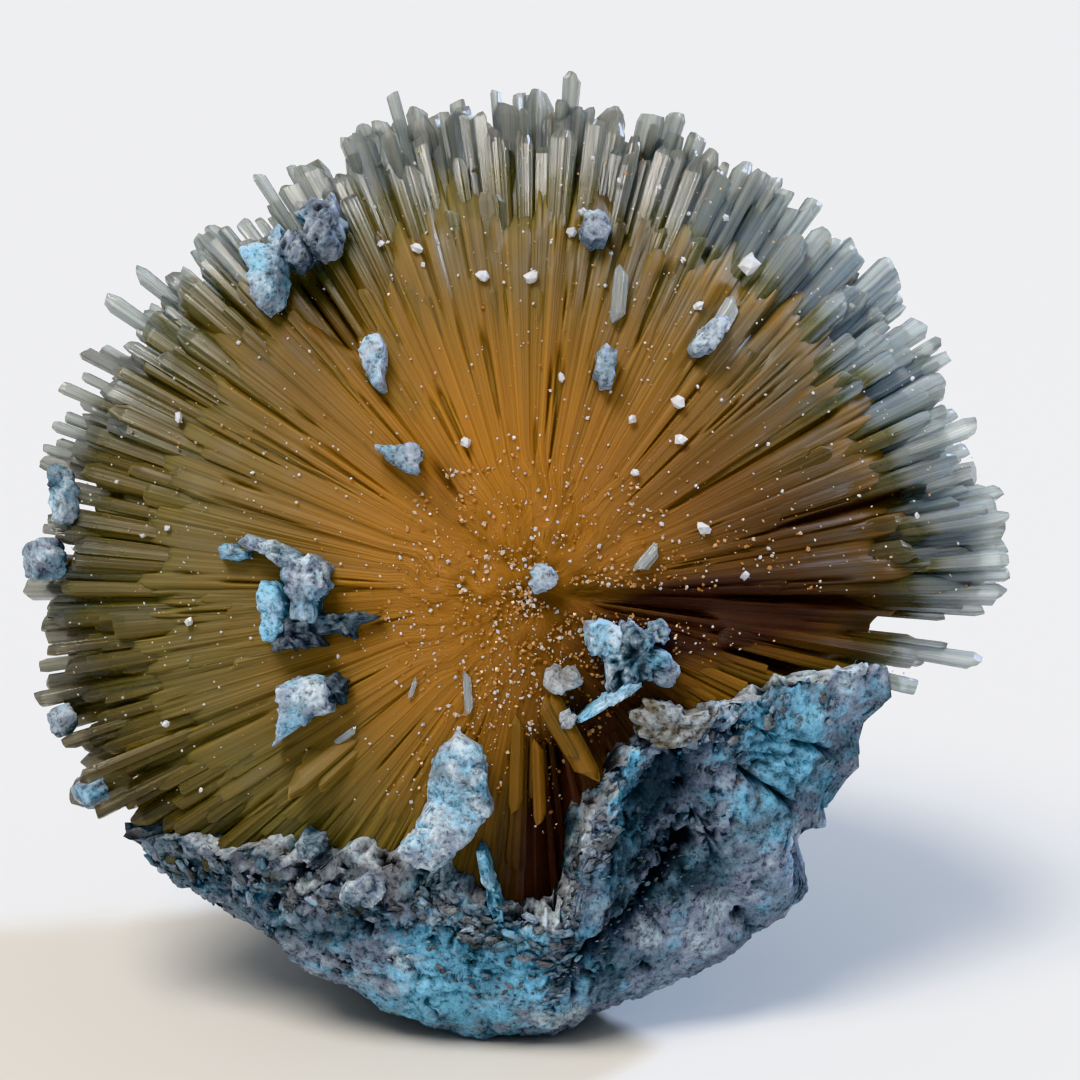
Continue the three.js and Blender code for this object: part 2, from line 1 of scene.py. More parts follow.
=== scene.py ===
import bpy
import numpy as np
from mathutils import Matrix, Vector


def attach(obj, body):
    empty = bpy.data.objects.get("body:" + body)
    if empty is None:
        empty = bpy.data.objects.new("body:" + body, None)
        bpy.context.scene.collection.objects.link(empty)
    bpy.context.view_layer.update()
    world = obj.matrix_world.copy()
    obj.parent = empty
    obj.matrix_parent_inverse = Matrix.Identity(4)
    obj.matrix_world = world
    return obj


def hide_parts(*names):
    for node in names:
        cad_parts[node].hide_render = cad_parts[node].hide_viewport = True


# A ball of amber crystals that all grow out of one point, flattened on its showy side and standing in
# a cup of dry clay. Lengths are in millimetres and angles in degrees; meshPiece turns them to metres.
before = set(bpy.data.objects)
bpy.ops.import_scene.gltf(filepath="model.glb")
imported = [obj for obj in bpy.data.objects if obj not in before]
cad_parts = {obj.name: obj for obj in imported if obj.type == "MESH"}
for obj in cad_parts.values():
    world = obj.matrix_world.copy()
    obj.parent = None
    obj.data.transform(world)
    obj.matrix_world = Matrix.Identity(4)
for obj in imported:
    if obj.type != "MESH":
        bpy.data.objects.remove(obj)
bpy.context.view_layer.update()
print("frame loaded")

millimetre = 0.001
focus = np.array([0.0, 0.0, 43.0])  # the point that every crystal grows out of
faceTilt = 14.0  # the showy side looks up by this many degrees
rimRound = 45  # how far from the focus widths across the round are counted


def fraction(angle):
    # what 43758.5453 times the sine has beyond a whole number: 0 to 1, the same each run
    value = np.sin(angle) * 43758.5453
    return value - np.floor(value)


def scatter(i, k):
    # the fraction at 12.9898 i + 78.233 k: i counts the pieces and k tells one use from the next
    return fraction(np.asarray(i, float) * 12.9898 + k * 78.233)


def scatterVector(i, seeds):
    # one of those for each seed, as a vector
    return np.stack([scatter(i, k) for k in seeds], -1)


def smooth(x):
    # 3x^2 - 2x^3 between 0 and 1, and level outside
    t = np.clip(x, 0.0, 1.0)
    return t * t * (3.0 - 2.0 * t)


def between(span, x):
    # from the start of the span at x = 0 to its end at x = 1
    return span[0] + (span[1] - span[0]) * x


def bell(x, y):
    # exp(-x^2 - y^2): 1 in the middle and nothing far out
    return np.exp(-x ** 2 - y ** 2)


def roundFrom(a, b):
    # how many degrees a lies round from b: -180 to 180
    return np.mod(a - b + 180, 360) - 180


def unit(v):
    # v over its length
    return v / np.linalg.norm(v, axis=-1, keepdims=True)


def angleBetween(a, b):
    # the arc cosine of the dot product of unit vectors
    return np.degrees(np.arccos(np.clip((a * b).sum(-1), -1.0, 1.0)))


def facing(clock, lean):
    # the unit vector at a clock (anticlockwise from the right) and a lean away from the viewer,
    # turned up about X by the tilt of the showy side
    c, l = np.radians(np.asarray(clock, float)), np.radians(np.asarray(lean, float))
    x, y, z = np.sin(l) * np.cos(c), -np.cos(l), np.sin(l) * np.sin(c)
    ct, st = np.cos(np.radians(faceTilt)), np.sin(np.radians(faceTilt))
    return np.stack([x, y * ct + z * st, z * ct - y * st], -1)


def below(turn, drop):
    # the unit vector at a compass turn and an angle up from straight down
    t, d = np.radians(np.asarray(turn, float)), np.radians(np.asarray(drop, float))
    return np.stack([np.sin(d) * np.cos(t), np.sin(d) * np.sin(t), -np.cos(d)], -1)


def turnOf(d):
    # the compass turn of a direction, by the arc tangent of y over x
    return np.degrees(np.arctan2(d[..., 1], d[..., 0]))


def dropOf(d):
    # its angle up from straight down, by the arc cosine of -z
    return np.degrees(np.arccos(np.clip(-d[..., 2], -1, 1)))


def onCircle(clock, along):
    # the place on the unit circle at a clock in radians, and how far it lies along the circle's axis
    return np.stack(np.broadcast_arrays(np.cos(clock), np.sin(clock), along), -1)


def latticeHash(cell, seed):
    # the fraction at 127.1 x + 311.7 y + 74.7 z + 19.19 seed of a cell of the unit lattice
    return fraction(cell[..., 0] * 127.1 + cell[..., 1] * 311.7 + cell[..., 2] * 74.7 + seed * 19.19)


def valueNoise(p, seed=0):
    # random values on the unit lattice, blended smoothly between its eight nearest points
    cell = np.floor(p)
    t = smooth(p - cell)
    total = 0.0
    for dx, dy, dz in np.ndindex(2, 2, 2):
        weight = np.abs(1 - dx - t[..., 0]) * np.abs(1 - dy - t[..., 1]) * np.abs(1 - dz - t[..., 2])
        total = total + weight * latticeHash(cell + (dx, dy, dz), seed)
    return total


def fractalNoise(p, size, octaves=3, seed=0):
    # value noise of that size in millimetres, each octave half the size and half the height: -1 to 1
    total, height, reached = 0.0, 1.0, 0.0
    for octave in range(octaves):
        total = total + height * (2.0 * valueNoise(p / size, seed + octave) - 1.0)
        reached += height
        height, size = height / 2, size / 2
    return total / reached


def noiseVector(p, size, octaves, seeds):
    # the same noise for each seed, as a vector
    return np.stack([fractalNoise(p, size, octaves, k) for k in seeds], -1)


def cellNoise(p, size, seed=0):
    # distance to the nearest and to the next of one random point per lattice cell, in cells,
    # and the nearest one's own random value
    p = p / size
    home = np.floor(p)
    nearest = np.full(p.shape[:-1], 9.0)
    second = np.full(p.shape[:-1], 9.0)
    value = np.zeros(p.shape[:-1])
    for step in np.ndindex(3, 3, 3):
        cell = home + np.array(step) - 1
        spot = cell + np.stack([latticeHash(cell, seed + k) for k in (1, 2, 3)], -1)
        gap = np.linalg.norm(p - spot, axis=-1)
        closer = gap < nearest
        second = np.where(closer, nearest, np.minimum(second, gap))
        value = np.where(closer, latticeHash(cell, seed + 4), value)
        nearest = np.where(closer, gap, nearest)
    return nearest, second, value


ball = {
    "reach": {"right": 46, "left": 49, "up": 48.5, "down": 42, "front": 16, "back": 42},
    # where the crystals are shorter: clock, lean, spread and share of the reach that is missing
    "hollows": [(-34, 88, 40, 0.36), (-84, 56, 17, 0.16), (122, 78, 12, 0.13)],
    "cleft": {"clock": -5, "lean": 62, "halfWidth": 0.075, "start": 0.25, "run": 0.5},
}
# the ball's own axes, as the viewer has them
ballAxes = np.stack([facing(0, 90), facing(0, 0), facing(90, 90)])
rightward, towards, upward = ballAxes


def rimReach(x, z):
    # how far the rim stands to the right or left and up or down, by the signs of x and z
    r = ball["reach"]
    return np.where(x > 0, r["right"], r["left"]), np.where(z > 0, r["up"], r["down"])


def shareOf(d):
    # a direction along the ball's own axes, each as a share of the reach on that side
    r = ball["reach"]
    along = d @ ballAxes.T
    ahead = np.array([r["right"], r["front"], r["up"]], float)
    behind = np.array([r["left"], r["back"], r["down"]], float)
    reach = np.where(along > 0, ahead, behind)
    return along / reach, reach


def ellipsoidAt(d):
    # how far the ellipsoid lies out along a direction: 1 over the length of its shares
    return 1 / np.linalg.norm(shareOf(d)[0], axis=-1)


def surfaceFacing(d):
    # the way that the ellipsoid's surface faces there: its shares, each over the reach again
    share, reach = shareOf(d)
    return unit((share / reach) @ ballAxes)


def inCleft(d):
    # a bell of how far a direction lies off the cleft's plane, coming up from its start outwards
    cleft = ball["cleft"]
    off = d @ facing(cleft["clock"] + 90, 90) / cleft["halfWidth"]
    ahead = d @ facing(cleft["clock"], cleft["lean"]) - cleft["start"]
    return np.exp(-off * off) * smooth(ahead / cleft["run"])


def reachTo(d):
    # the ellipsoid, less the hollows
    left = 1.0
    for clock, lean, spread, depth in ball["hollows"]:
        left = left * (1 - depth * (1 - smooth(angleBetween(d, facing(clock, lean)) / spread)))
    return left * ellipsoidAt(d)


def hollowed(d):
    # what the hollows leave of the ellipsoid there, as a share
    return reachTo(d) / ellipsoidAt(d)


def placeAt(clock, lean, radius):
    # rows: right, up along the tips and out of them; and the place itself
    way = facing(clock, lean)
    out = surfaceFacing(way)
    right = unit(np.array([1.0, 0, 0]) - out * out[0])
    return np.stack([right, np.cross(out, right), out]), focus + way * radius


cup = {
    # compass turn, how far the rim stands up from straight below, and how far the outer face stands
    # off the tips on its way up and at the rim
    "turn": [0, 45, 90, 135, 175, 189, 198, 210, 222, 237, 257, 278, 288, 297, 308, 317, 327, 338, 342, 347],
    "drop": [42, 48, 55, 56, 58, 60, 59, 55, 50, 45, 38, 34, 52, 64, 71, 76, 80.5, 84, 58, 45],
    "flank": [-5, 0, 1.5, 2, 2, -0.5, -4, -1, 1.2, 2.2, 2.5, 2.5, 0.5, -3, -4.5, -5.4, -5.6, -9, -6, -4.5],
    "rim": [-9, -4, -1.5, 0, 0.5, 0.8, 0.5, 2, 2.5, 2.5, 2.6, 2.6, 3, 3, 3, 3, 3, 2.6, -1, -7],
    "pole": 2.6,
    # hollows in the outer face: turn, drop, spread and depth
    "hollows": [
        (308, 56, 19, 2.0), (346, 60, 18, 5.5), (342, 50, 5, 3.0), (344, 72, 5, 2.0), (327, 39, 5, 2.0),
        (255, 50, 7, 1.6), (205, 52, 8, 0.8), (339, 73, 7, 2.6), (323, 41, 8, 1.8),
    ],
    # cracks: turn and drop at both ends, width and depth; and how far from the focus widths are counted
    "cracks": [
        (278, 27, 315, 47, 2.2, 2.8), (279, 27, 279, 37, 0.6, 2.5), (328, 70, 339, 68, 0.8, 2.2),
        (321, 62, 333, 57, 0.7, 3.0), (232, 38.5, 242, 37, 0.7, 1.8), (318, 73, 326, 69, 0.4, 1.6),
        (322, 66, 330, 66, 0.35, 1.4), (296, 52, 303, 60, 0.9, 2.2), (300, 46, 310, 53, 0.8, 2.2),
        (205, 50, 222, 46, 0.8, 1.0), (334, 52, 338, 47, 0.7, 2.4), (262, 33, 272, 30, 0.35, 1.0),
        (300, 36, 312, 33, 0.5, 1.4), (314, 52, 322, 45, 0.45, 1.4), (309, 64, 319, 68, 0.4, 1.3),
    ],
    "crackRound": 36,
    # ground of one kind: turn, drop and half sizes in degrees
    "wall": (303, 56, 13, 15),
    "ledge": (232, 48, 34, 40),
    "slab": (312, 37, 14, 8),
    "foot": (250, 28, 30, 10),
    "shoulder": (328, 66, 8, 14),
    # turquoise films: the same after their strength
    "films": [(1.0, 294, 58, 5, 14), (0.9, 255, 30, 25, 8), (0.4, 328, 66, 9, 16)],
    "layer": 3.1,  # the ledge's layers, in degrees of drop
    "columns": 620,
    "rows": 132,
    "inner": {"steps": 14, "share": 0.8, "lower": 10, "down": 8},
}


def cupAt(turn, key):
    # the cup's drop, flank or rim at a compass turn, eased between the stated ones
    t = np.mod(turn, 360.0)
    turns = np.array(cup["turn"] + [360.0])
    values = np.array(cup[key] + cup[key][:1], float)
    i = np.clip(np.searchsorted(turns, t, side="right") - 1, 0, len(turns) - 2)
    share = smooth((t - turns[i]) / (turns[i + 1] - turns[i]))
    return values[i] + (values[i + 1] - values[i]) * share


def cupRadius(turn, drop, share):
    # how far the outer face stands from the focus: the ellipsoid and what is off it, eased from the
    # pole to the rim as a curve through three heights, less the hollows
    way = below(turn, drop)
    off = (1 - share) ** 2 * cup["pole"] + 2 * share * (1 - share) * cupAt(turn, "flank")
    off = off + share * share * cupAt(turn, "rim")
    for atTurn, atDrop, spread, depth in cup["hollows"]:
        off = off - depth * (1 - smooth(angleBetween(way, below(atTurn, atDrop)) / spread))
    return ellipsoidAt(way) + off


def meshPiece(name, points, loops, sizes, values=None, smoothFaces=False):
    # points in millimetres, the corner list of all faces in turn, and each face's corner count
    mesh = bpy.data.meshes.new(name)
    sizes = np.asarray(sizes, np.int32)
    mesh.vertices.add(len(points))
    mesh.vertices.foreach_set("co", (points * millimetre).astype(np.float32).ravel())
    mesh.loops.add(len(loops))
    mesh.loops.foreach_set("vertex_index", np.asarray(loops, np.int32))
    mesh.polygons.add(len(sizes))
    starts = np.concatenate([[0], np.cumsum(sizes)[:-1]]).astype(np.int32)
    mesh.polygons.foreach_set("loop_start", starts)
    mesh.polygons.foreach_set("use_smooth", np.full(len(sizes), smoothFaces))
    for key, value in (values or {}).items():
        value = np.asarray(value, np.float32)
        layer = mesh.attributes.new(key, "FLOAT_VECTOR" if value.ndim == 2 else "FLOAT", "POINT")
        layer.data.foreach_set("vector" if value.ndim == 2 else "value", value.ravel())
    mesh.update(calc_edges=True)
    mesh.validate()
    piece = bpy.data.objects.new(name, mesh)
    bpy.context.scene.collection.objects.link(piece)
    return piece


def closedGrid(rows, columns):
    # the corners and sizes of a grid's faces, closed on itself across its columns, with a flat face at
    # each end
    i, j = np.meshgrid(np.arange(rows - 1), np.arange(columns), indexing="ij")
    a = i * columns + j
    b = i * columns + (j + 1) % columns
    quads = np.stack([a, b, b + columns, a + columns], -1).reshape(-1)
    foot = np.arange(columns)[::-1]
    cap = np.arange(columns) + (rows - 1) * columns
    sizes = np.concatenate([np.full((rows - 1) * columns, 4), [columns, columns]])
    return np.concatenate([quads, foot, cap]), sizes


def manyGrids(count, rows, columns):
    # the same for many alike grids, one after the other
    loops, sizes = closedGrid(rows, columns)
    loops = loops[None] + (np.arange(count) * rows * columns)[:, None]
    return loops.reshape(-1), np.tile(sizes, count)


def linear(code):
    # an sRGB hex colour as linear red, green, blue and alpha
    parts = [int(code[i:i + 2], 16) / 255 for i in (1, 3, 5)]
    return tuple(c / 12.92 if c <= 0.04045 else ((c + 0.055) / 1.055) ** 2.4 for c in parts) + (1.0,)


def newMaterial(name):
    material = bpy.data.materials.new(name)
    material.use_nodes = True
    material.node_tree.nodes.clear()
    return material, material.node_tree


def addNode(tree, kind, settings=None):
    # a setting goes to the socket of that name or index, or else to the node's own property; another
    # node's output is linked to it. Gives the new node's outputs
    node = tree.nodes.new(kind)
    sockets = {s.name: s for s in reversed(list(node.inputs))}
    for key, value in (settings or {}).items():
        socket = node.inputs[key] if isinstance(key, int) else sockets.get(key)
        if isinstance(value, bpy.types.NodeSocket):
            tree.links.new(value, socket)
        elif socket:
            socket.default_value = value
        else:
            setattr(node, key, value)
    return node.outputs


def attributeOf(tree, key, output="Fac"):
    return addNode(tree, "ShaderNodeAttribute", {"attribute_name": key})[output]


def noiseOf(tree, place, scale, detail, roughness=0.5):
    # scale is in waves to the metre
    settings = {"Scale": scale, "Detail": detail, "Roughness": roughness, "Vector": place}
    return addNode(tree, "ShaderNodeTexNoise", settings)["Fac"]


def rampOf(tree, source, *stops):
    # stops: where, and a hex colour or a level of grey
    outputs = addNode(tree, "ShaderNodeValToRGB", {"Fac": source})
    ramp = outputs[0].node.color_ramp.elements
    while len(ramp) < len(stops):
        ramp.new(0.5)
    for stop, (at, colour) in zip(ramp, stops):
        stop.position = at
        stop.color = linear(colour) if isinstance(colour, str) else (colour, colour, colour, 1.0)
    return outputs[0]


def timesPlus(tree, source, times, plus):
    # source times a number, plus another source
    return addNode(tree, "ShaderNodeMath", {"operation": "MULTIPLY_ADD", 0: source, 1: times, 2: plus})[0]


def covered(tree, colour, share, over):
    # one colour covered by another as far as the share goes
    return addNode(tree, "ShaderNodeMix", {"data_type": "RGBA", 0: share, 6: colour, 7: linear(over)})[2]


def shaded(tree, colour, shade, share=1.0):
    # a colour times a shade, as far as the share goes
    settings = {"data_type": "RGBA", "blend_type": "MULTIPLY", 0: share, 6: colour, 7: shade}
    return addNode(tree, "ShaderNodeMix", settings)[2]


def finish(piece, material, slot, *nodes):
    # a piece's material and body, and the nodes it stands in for; slot is not used
    piece.data.materials.append(material)
    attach(piece, "root")
    if nodes:
        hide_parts(*nodes)


# The scraps of clay. Each is a clock, lean and radius as the frame's solid has it, and its lumps: an
# outline in millimetres to the right and up, seen straight on, how thick it is, how far it stands out
# and how it looks: teal, dim and pitted, 0 to 1, and for some how warm.
scraps = {
    "clay_crust_left": ((-178, 56, 26.6), [
        ([(-5.7, 5.7), (-4.8, 6.3), (-3.3, 5.8), (-1.3, 5.2), (0.3, 4.3), (0.4, 2.9), (-1.2, 3.0),
          (-3.1, 4.5), (-4.4, 4.9)], 1.9, 0.7, (0.2, 0.0, 0.3)),
        ([(-1.2, 3.2), (-0.4, 4.4), (0.6, 4.3), (1.9, 4.3), (3.0, 3.3), (2.9, 1.3), (2.2, -0.1),
          (1.7, -2.3), (-0.3, -2.2), (-0.6, -0.1), (-1.1, 1.3)], 3.4, 0.4, (0.1, 0.0, 0.5)),
        ([(-3.6, 0.8), (-3.1, 1.8), (-2.2, 2.2), (-1.5, 1.4), (-1.0, -0.1), (-0.7, -1.7), (-1.0, -3.0),
          (-2.1, -4.1), (-3.1, -3.9), (-3.4, -2.6), (-3.2, -1.0)], 3.2, 0.3, (0.8, 0.0, 0.2)),
        ([(-3.4, -2.6), (-2.1, -1.7), (-0.3, -1.7), (1.6, -1.8), (2.4, -4.1), (-0.3, -4.5), (-2.7, -4.3)],
          2.8, -0.1, (0.0, 0.75, 1.0)),
        ([(1.3, -1.1), (3.0, -1.2), (5.3, -1.2), (8.2, -1.4), (5.5, -2.2), (5.2, -3.5), (3.4, -3.0),
          (1.8, -3.2)], 1.8, -0.7, (0.2, 0.7, 0.8)),
        ([(-7.9, 4.9), (-7.1, 5.2), (-5.7, 4.9), (-4.6, 4.6), (-4.9, 4.0), (-6.4, 3.8), (-7.6, 3.9)],
          1.3, -0.8, (0.5, 0.2, 0.2)),
    ]),
    "clay_chip_left": ((-152, 58.5, 27.6), [
        ([(-2.8, 2.3), (-0.5, 3.1), (1.3, 3.1), (1.6, 1.9), (2.1, 0.7), (2.0, 0.0), (-0.6, -1.4),
          (-2.3, -2.3), (-3.5, -3.3), (-3.0, -1.8), (-2.7, 0.1)], 1.7, 0.6, (0.25, 0.0, 0.1)),
        ([(1.2, 3.0), (2.2, 3.4), (3.1, 2.6), (3.3, 1.3), (2.8, 0.6), (1.8, 0.6), (1.3, 2.0)],
          1.5, -0.1, (0.0, 0.8, 0.9)),
    ]),
    "clay_tongue": ((-111.5, 54.5, 25.4), [
        ([(-0.7, 5.4), (0.7, 6.2), (1.9, 5.7), (2.9, 4.6), (3.4, 2.9), (3.3, 0.7), (3.9, -0.3), (3.3, -2.2),
          (2.1, -3.4), (-0.6, -3.6), (-3.0, -3.0), (-2.8, -1.8), (-2.0, -0.1), (-2.0, 1.9), (-1.8, 3.5)],
          3.6, 0.9, (0.42, 0.0, 0.2)),
        ([(-3.2, -2.6), (0.5, -2.2), (2.6, -2.9), (2.0, -3.8), (0.4, -4.9), (-0.2, -5.8), (-1.6, -7.0),
          (-3.0, -6.2), (-4.6, -5.3), (-5.0, -4.4), (-3.5, -3.4)], 3.2, 0.7, (0.3, 0.0, 0.1)),
    ]),
    "clay_crust_right": ((-31.5, 35, 19.8), [
        ([(-4.5, 3.0), (-3.4, 3.5), (-2.4, 3.6), (-1.6, 2.4), (-1.8, 0.8), (-2.8, 0.2), (-3.9, 0.2),
          (-4.5, 1.3)], 2.6, 0.7, (0.5, 0.0, 0.2)),
        ([(-2.4, 3.5), (-0.3, 3.5), (0.6, 2.3), (1.4, 2.2), (1.8, 1.0), (3.1, 0.6), (3.4, -0.9),
          (1.8, -1.9), (0.4, -2.5), (-1.3, -3.4), (-2.6, -2.6), (-2.9, -0.6), (-2.6, 1.6)],
          3.0, 0.4, (0.2, 0.15, 0.9)),
        ([(1.4, 1.5), (1.7, 2.8), (2.6, 3.3), (3.3, 2.4), (2.7, 1.0)], 2.0, 0.2, (0.3, 0.0, 0.3)),
        ([(1.5, -0.6), (2.6, 0.2), (3.9, -0.3), (4.2, -1.9), (3.0, -3.0), (1.6, -2.6)],
          2.6, 0.3, (0.0, 0.2, 0.0)),
        ([(-0.6, -2.2), (0.8, -2.4), (-0.2, -3.4), (-1.5, -4.1), (-3.6, -5.2), (-5.0, -6.2), (-5.4, -5.7),
          (-4.4, -4.7), (-2.8, -3.7)], 1.2, 0.8, (0.9, 0.0, 0.1)),
    ]),
    "clay_wedge_upper": ((134, 48.5, 23.4), [
        ([(-2.6, 1.2), (-0.6, 1.2), (1.4, 1.5), (1.8, 0.4), (1.3, -1.5), (0.2, -1.2), (-1.4, 0.1)],
          1.9, 0.3, (0.1, 0.0, 0.1)),
    ]),
    "clay_flake_upper": ((124.5, 62.5, 30), [
        ([(-0.3, 2.2), (0.7, 2.3), (1.3, 1.2), (1.0, -0.8), (1.2, -2.4), (0.2, -2.6), (-0.8, -1.0),
          (-1.2, 0.6)], 1.5, 0.3, (0.2, 0.0, 0.0)),
    ]),
    "clay_lump_center": ((50, 6, 16.9), [
        ([(-1.3, 0.6), (-0.4, 1.3), (0.9, 1.2), (1.4, 0.1), (0.8, -1.1), (-0.6, -1.2), (-1.3, -0.4)],
          1.9, 0.3, (0.1, 0.0, 0.0)),
    ]),
    "clay_block_upper_left": ((129, 75.5, 40.6), [
        ([(-3.0, 1.8), (-0.8, 2.6), (0.9, 2.2), (1.0, -0.4), (0.6, -2.6), (-0.8, -3.6), (-2.2, -2.6),
          (-2.0, 0.0)], 4.2, 0.1, (0.4, 0.0, 0.1)),
        ([(0.2, 1.6), (1.6, 3.8), (3.0, 3.6), (3.4, 2.0), (2.2, 0.4)], 3.0, 0.3, (0.0, 0.3, 0.6)),
        ([(-0.2, 4.6), (0.7, 4.9), (0.9, 2.6), (0.4, 1.2), (-0.5, 1.6)], 1.3, 0.0, (0.3, 0.0, 0.1)),
    ]),
    "clay_crust_upper_left": ((120, 77, 41.4), [
        ([(-2.0, 0.9), (-0.6, 2.4), (1.2, 2.2), (2.2, 0.4), (1.6, -1.6), (0.2, -2.4), (-1.6, -1.6)],
          4.2, 0.0, (0.0, 0.35, 0.8)),
    ]),
    "clay_lump_far_left": ((176.5, 84, 48), [
        ([(-1.9, 0.2), (-0.8, 1.9), (0.7, 2.2), (1.6, 0.8), (1.2, -0.8), (-0.1, -1.9), (-1.6, -1.6)],
          3.4, 0.0, (0.2, 0.0, 0.3)),
    ]),
    "clay_rind_far_left": ((168.5, 83, 47.2), [
        ([(-0.9, 2.6), (0.1, 3.2), (0.9, 2.2), (0.8, 0.4), (1.0, -1.8), (0.1, -3.0), (-0.7, -1.6),
          (-0.9, 0.6)], 2.2, 0.0, (0.2, 0.1, 0.4)),
    ]),
    "clay_lump_low_left": ((-155.5, 86.5, 48), [
        ([(-1.8, 0.5), (-0.6, 1.3), (1.1, 1.1), (1.8, 0.1), (1.0, -1.1), (-0.8, -1.2)],
          2.8, 0.0, (0.3, 0.0, 0.2)),
    ]),
    "clay_crumb_low_left": ((-164.5, 85.5, 48.2), [
        ([(-1.1, 0.9), (0.2, 1.5), (1.3, 0.8), (1.2, -0.7), (0.2, -1.5), (-1.1, -0.9)],
          2.4, 0.0, (0.0, 0.1, 0.2)),
    ]),
    "clay_flake_upper_middle": ((72, 57, 26.8), [
        ([(-0.8, 1.2), (0.2, 2.1), (1.0, 1.3), (1.0, -0.4), (0.7, -2.1), (-0.4, -2.2), (-1.0, -0.8)],
          1.7, 0.3, (0.0, 0.0, 0.0)),
    ]),
    "clay_flake_upper_right": ((55.5, 66, 32.3), [
        ([(-1.7, -0.8), (-0.6, 0.9), (0.9, 1.9), (1.9, 1.3), (1.2, -0.3), (0.3, -1.6), (-1.2, -1.7)],
          1.7, 0.3, (0.1, 0.0, 0.1)),
    ]),
    "clay_crumb_top": ((80, 72, 37), [
        ([(-1.6, 0.4), (-0.8, 1.7), (0.7, 1.5), (1.5, 0.3), (1.0, -1.4), (-0.5, -1.7), (-1.5, -0.9)],
          2.1, 0.1, (0.0, 0.2, 0.3)),
    ]),
    "clay_lump_right": ((-42.5, 51.5, 24.2), [
        ([(-4.6, 1.6), (-3.2, 2.9), (-1.2, 2.4), (0.6, 1.6), (2.6, 1.9), (3.2, 0.6), (1.4, -0.8),
          (-0.6, -1.6), (-2.6, -1.4), (-4.2, -0.2)], 2.9, 0.3, (0.0, 0.45, 0.5, 0.75)),
    ]),
    "clay_crumb_low_middle": ((-73.5, 30, 18.8), [
        ([(-1.7, 0.8), (-1.4, 1.9), (-0.4, 2.2), (1.4, 1.9), (2.2, 1.0), (1.6, 0.1), (0.2, -0.4),
          (-1.0, 0.0)], 1.9, 0.3, (0.0, 0.0, 0.1, 0.4)),
        ([(-0.2, -2.0), (0.9, -1.6), (1.6, -2.5), (1.1, -3.6), (0.2, -3.2)],
          1.6, 0.2, (0.0, 0.0, 0.0, 0.3)),
    ]),
}


def onPlane(axes, middle, outline, stand):
    # the outline, seen straight on, laid on the plane along the tips, that much further out
    flat = np.asarray(outline, float)
    p = flat[:, :1] * rightward + flat[:, 1:] * upward
    slide = -(p @ axes[2]) / (towards @ axes[2])
    return middle + p + slide[:, None] * towards + stand * axes[2]


def lumpMiddles():
    # every lump's middle, its mean half size, its thickness and the way out of the tips there
    found = []
    for place, lumps in scraps.values():
        axes, middle = placeAt(*place)
        for outline, thick, stand, _ in lumps:
            ring = onPlane(axes, middle, outline, stand)
            centre = ring.mean(0)
            found.append((centre, np.linalg.norm(ring - centre, axis=1).mean(), thick, axes[2]))
    return found


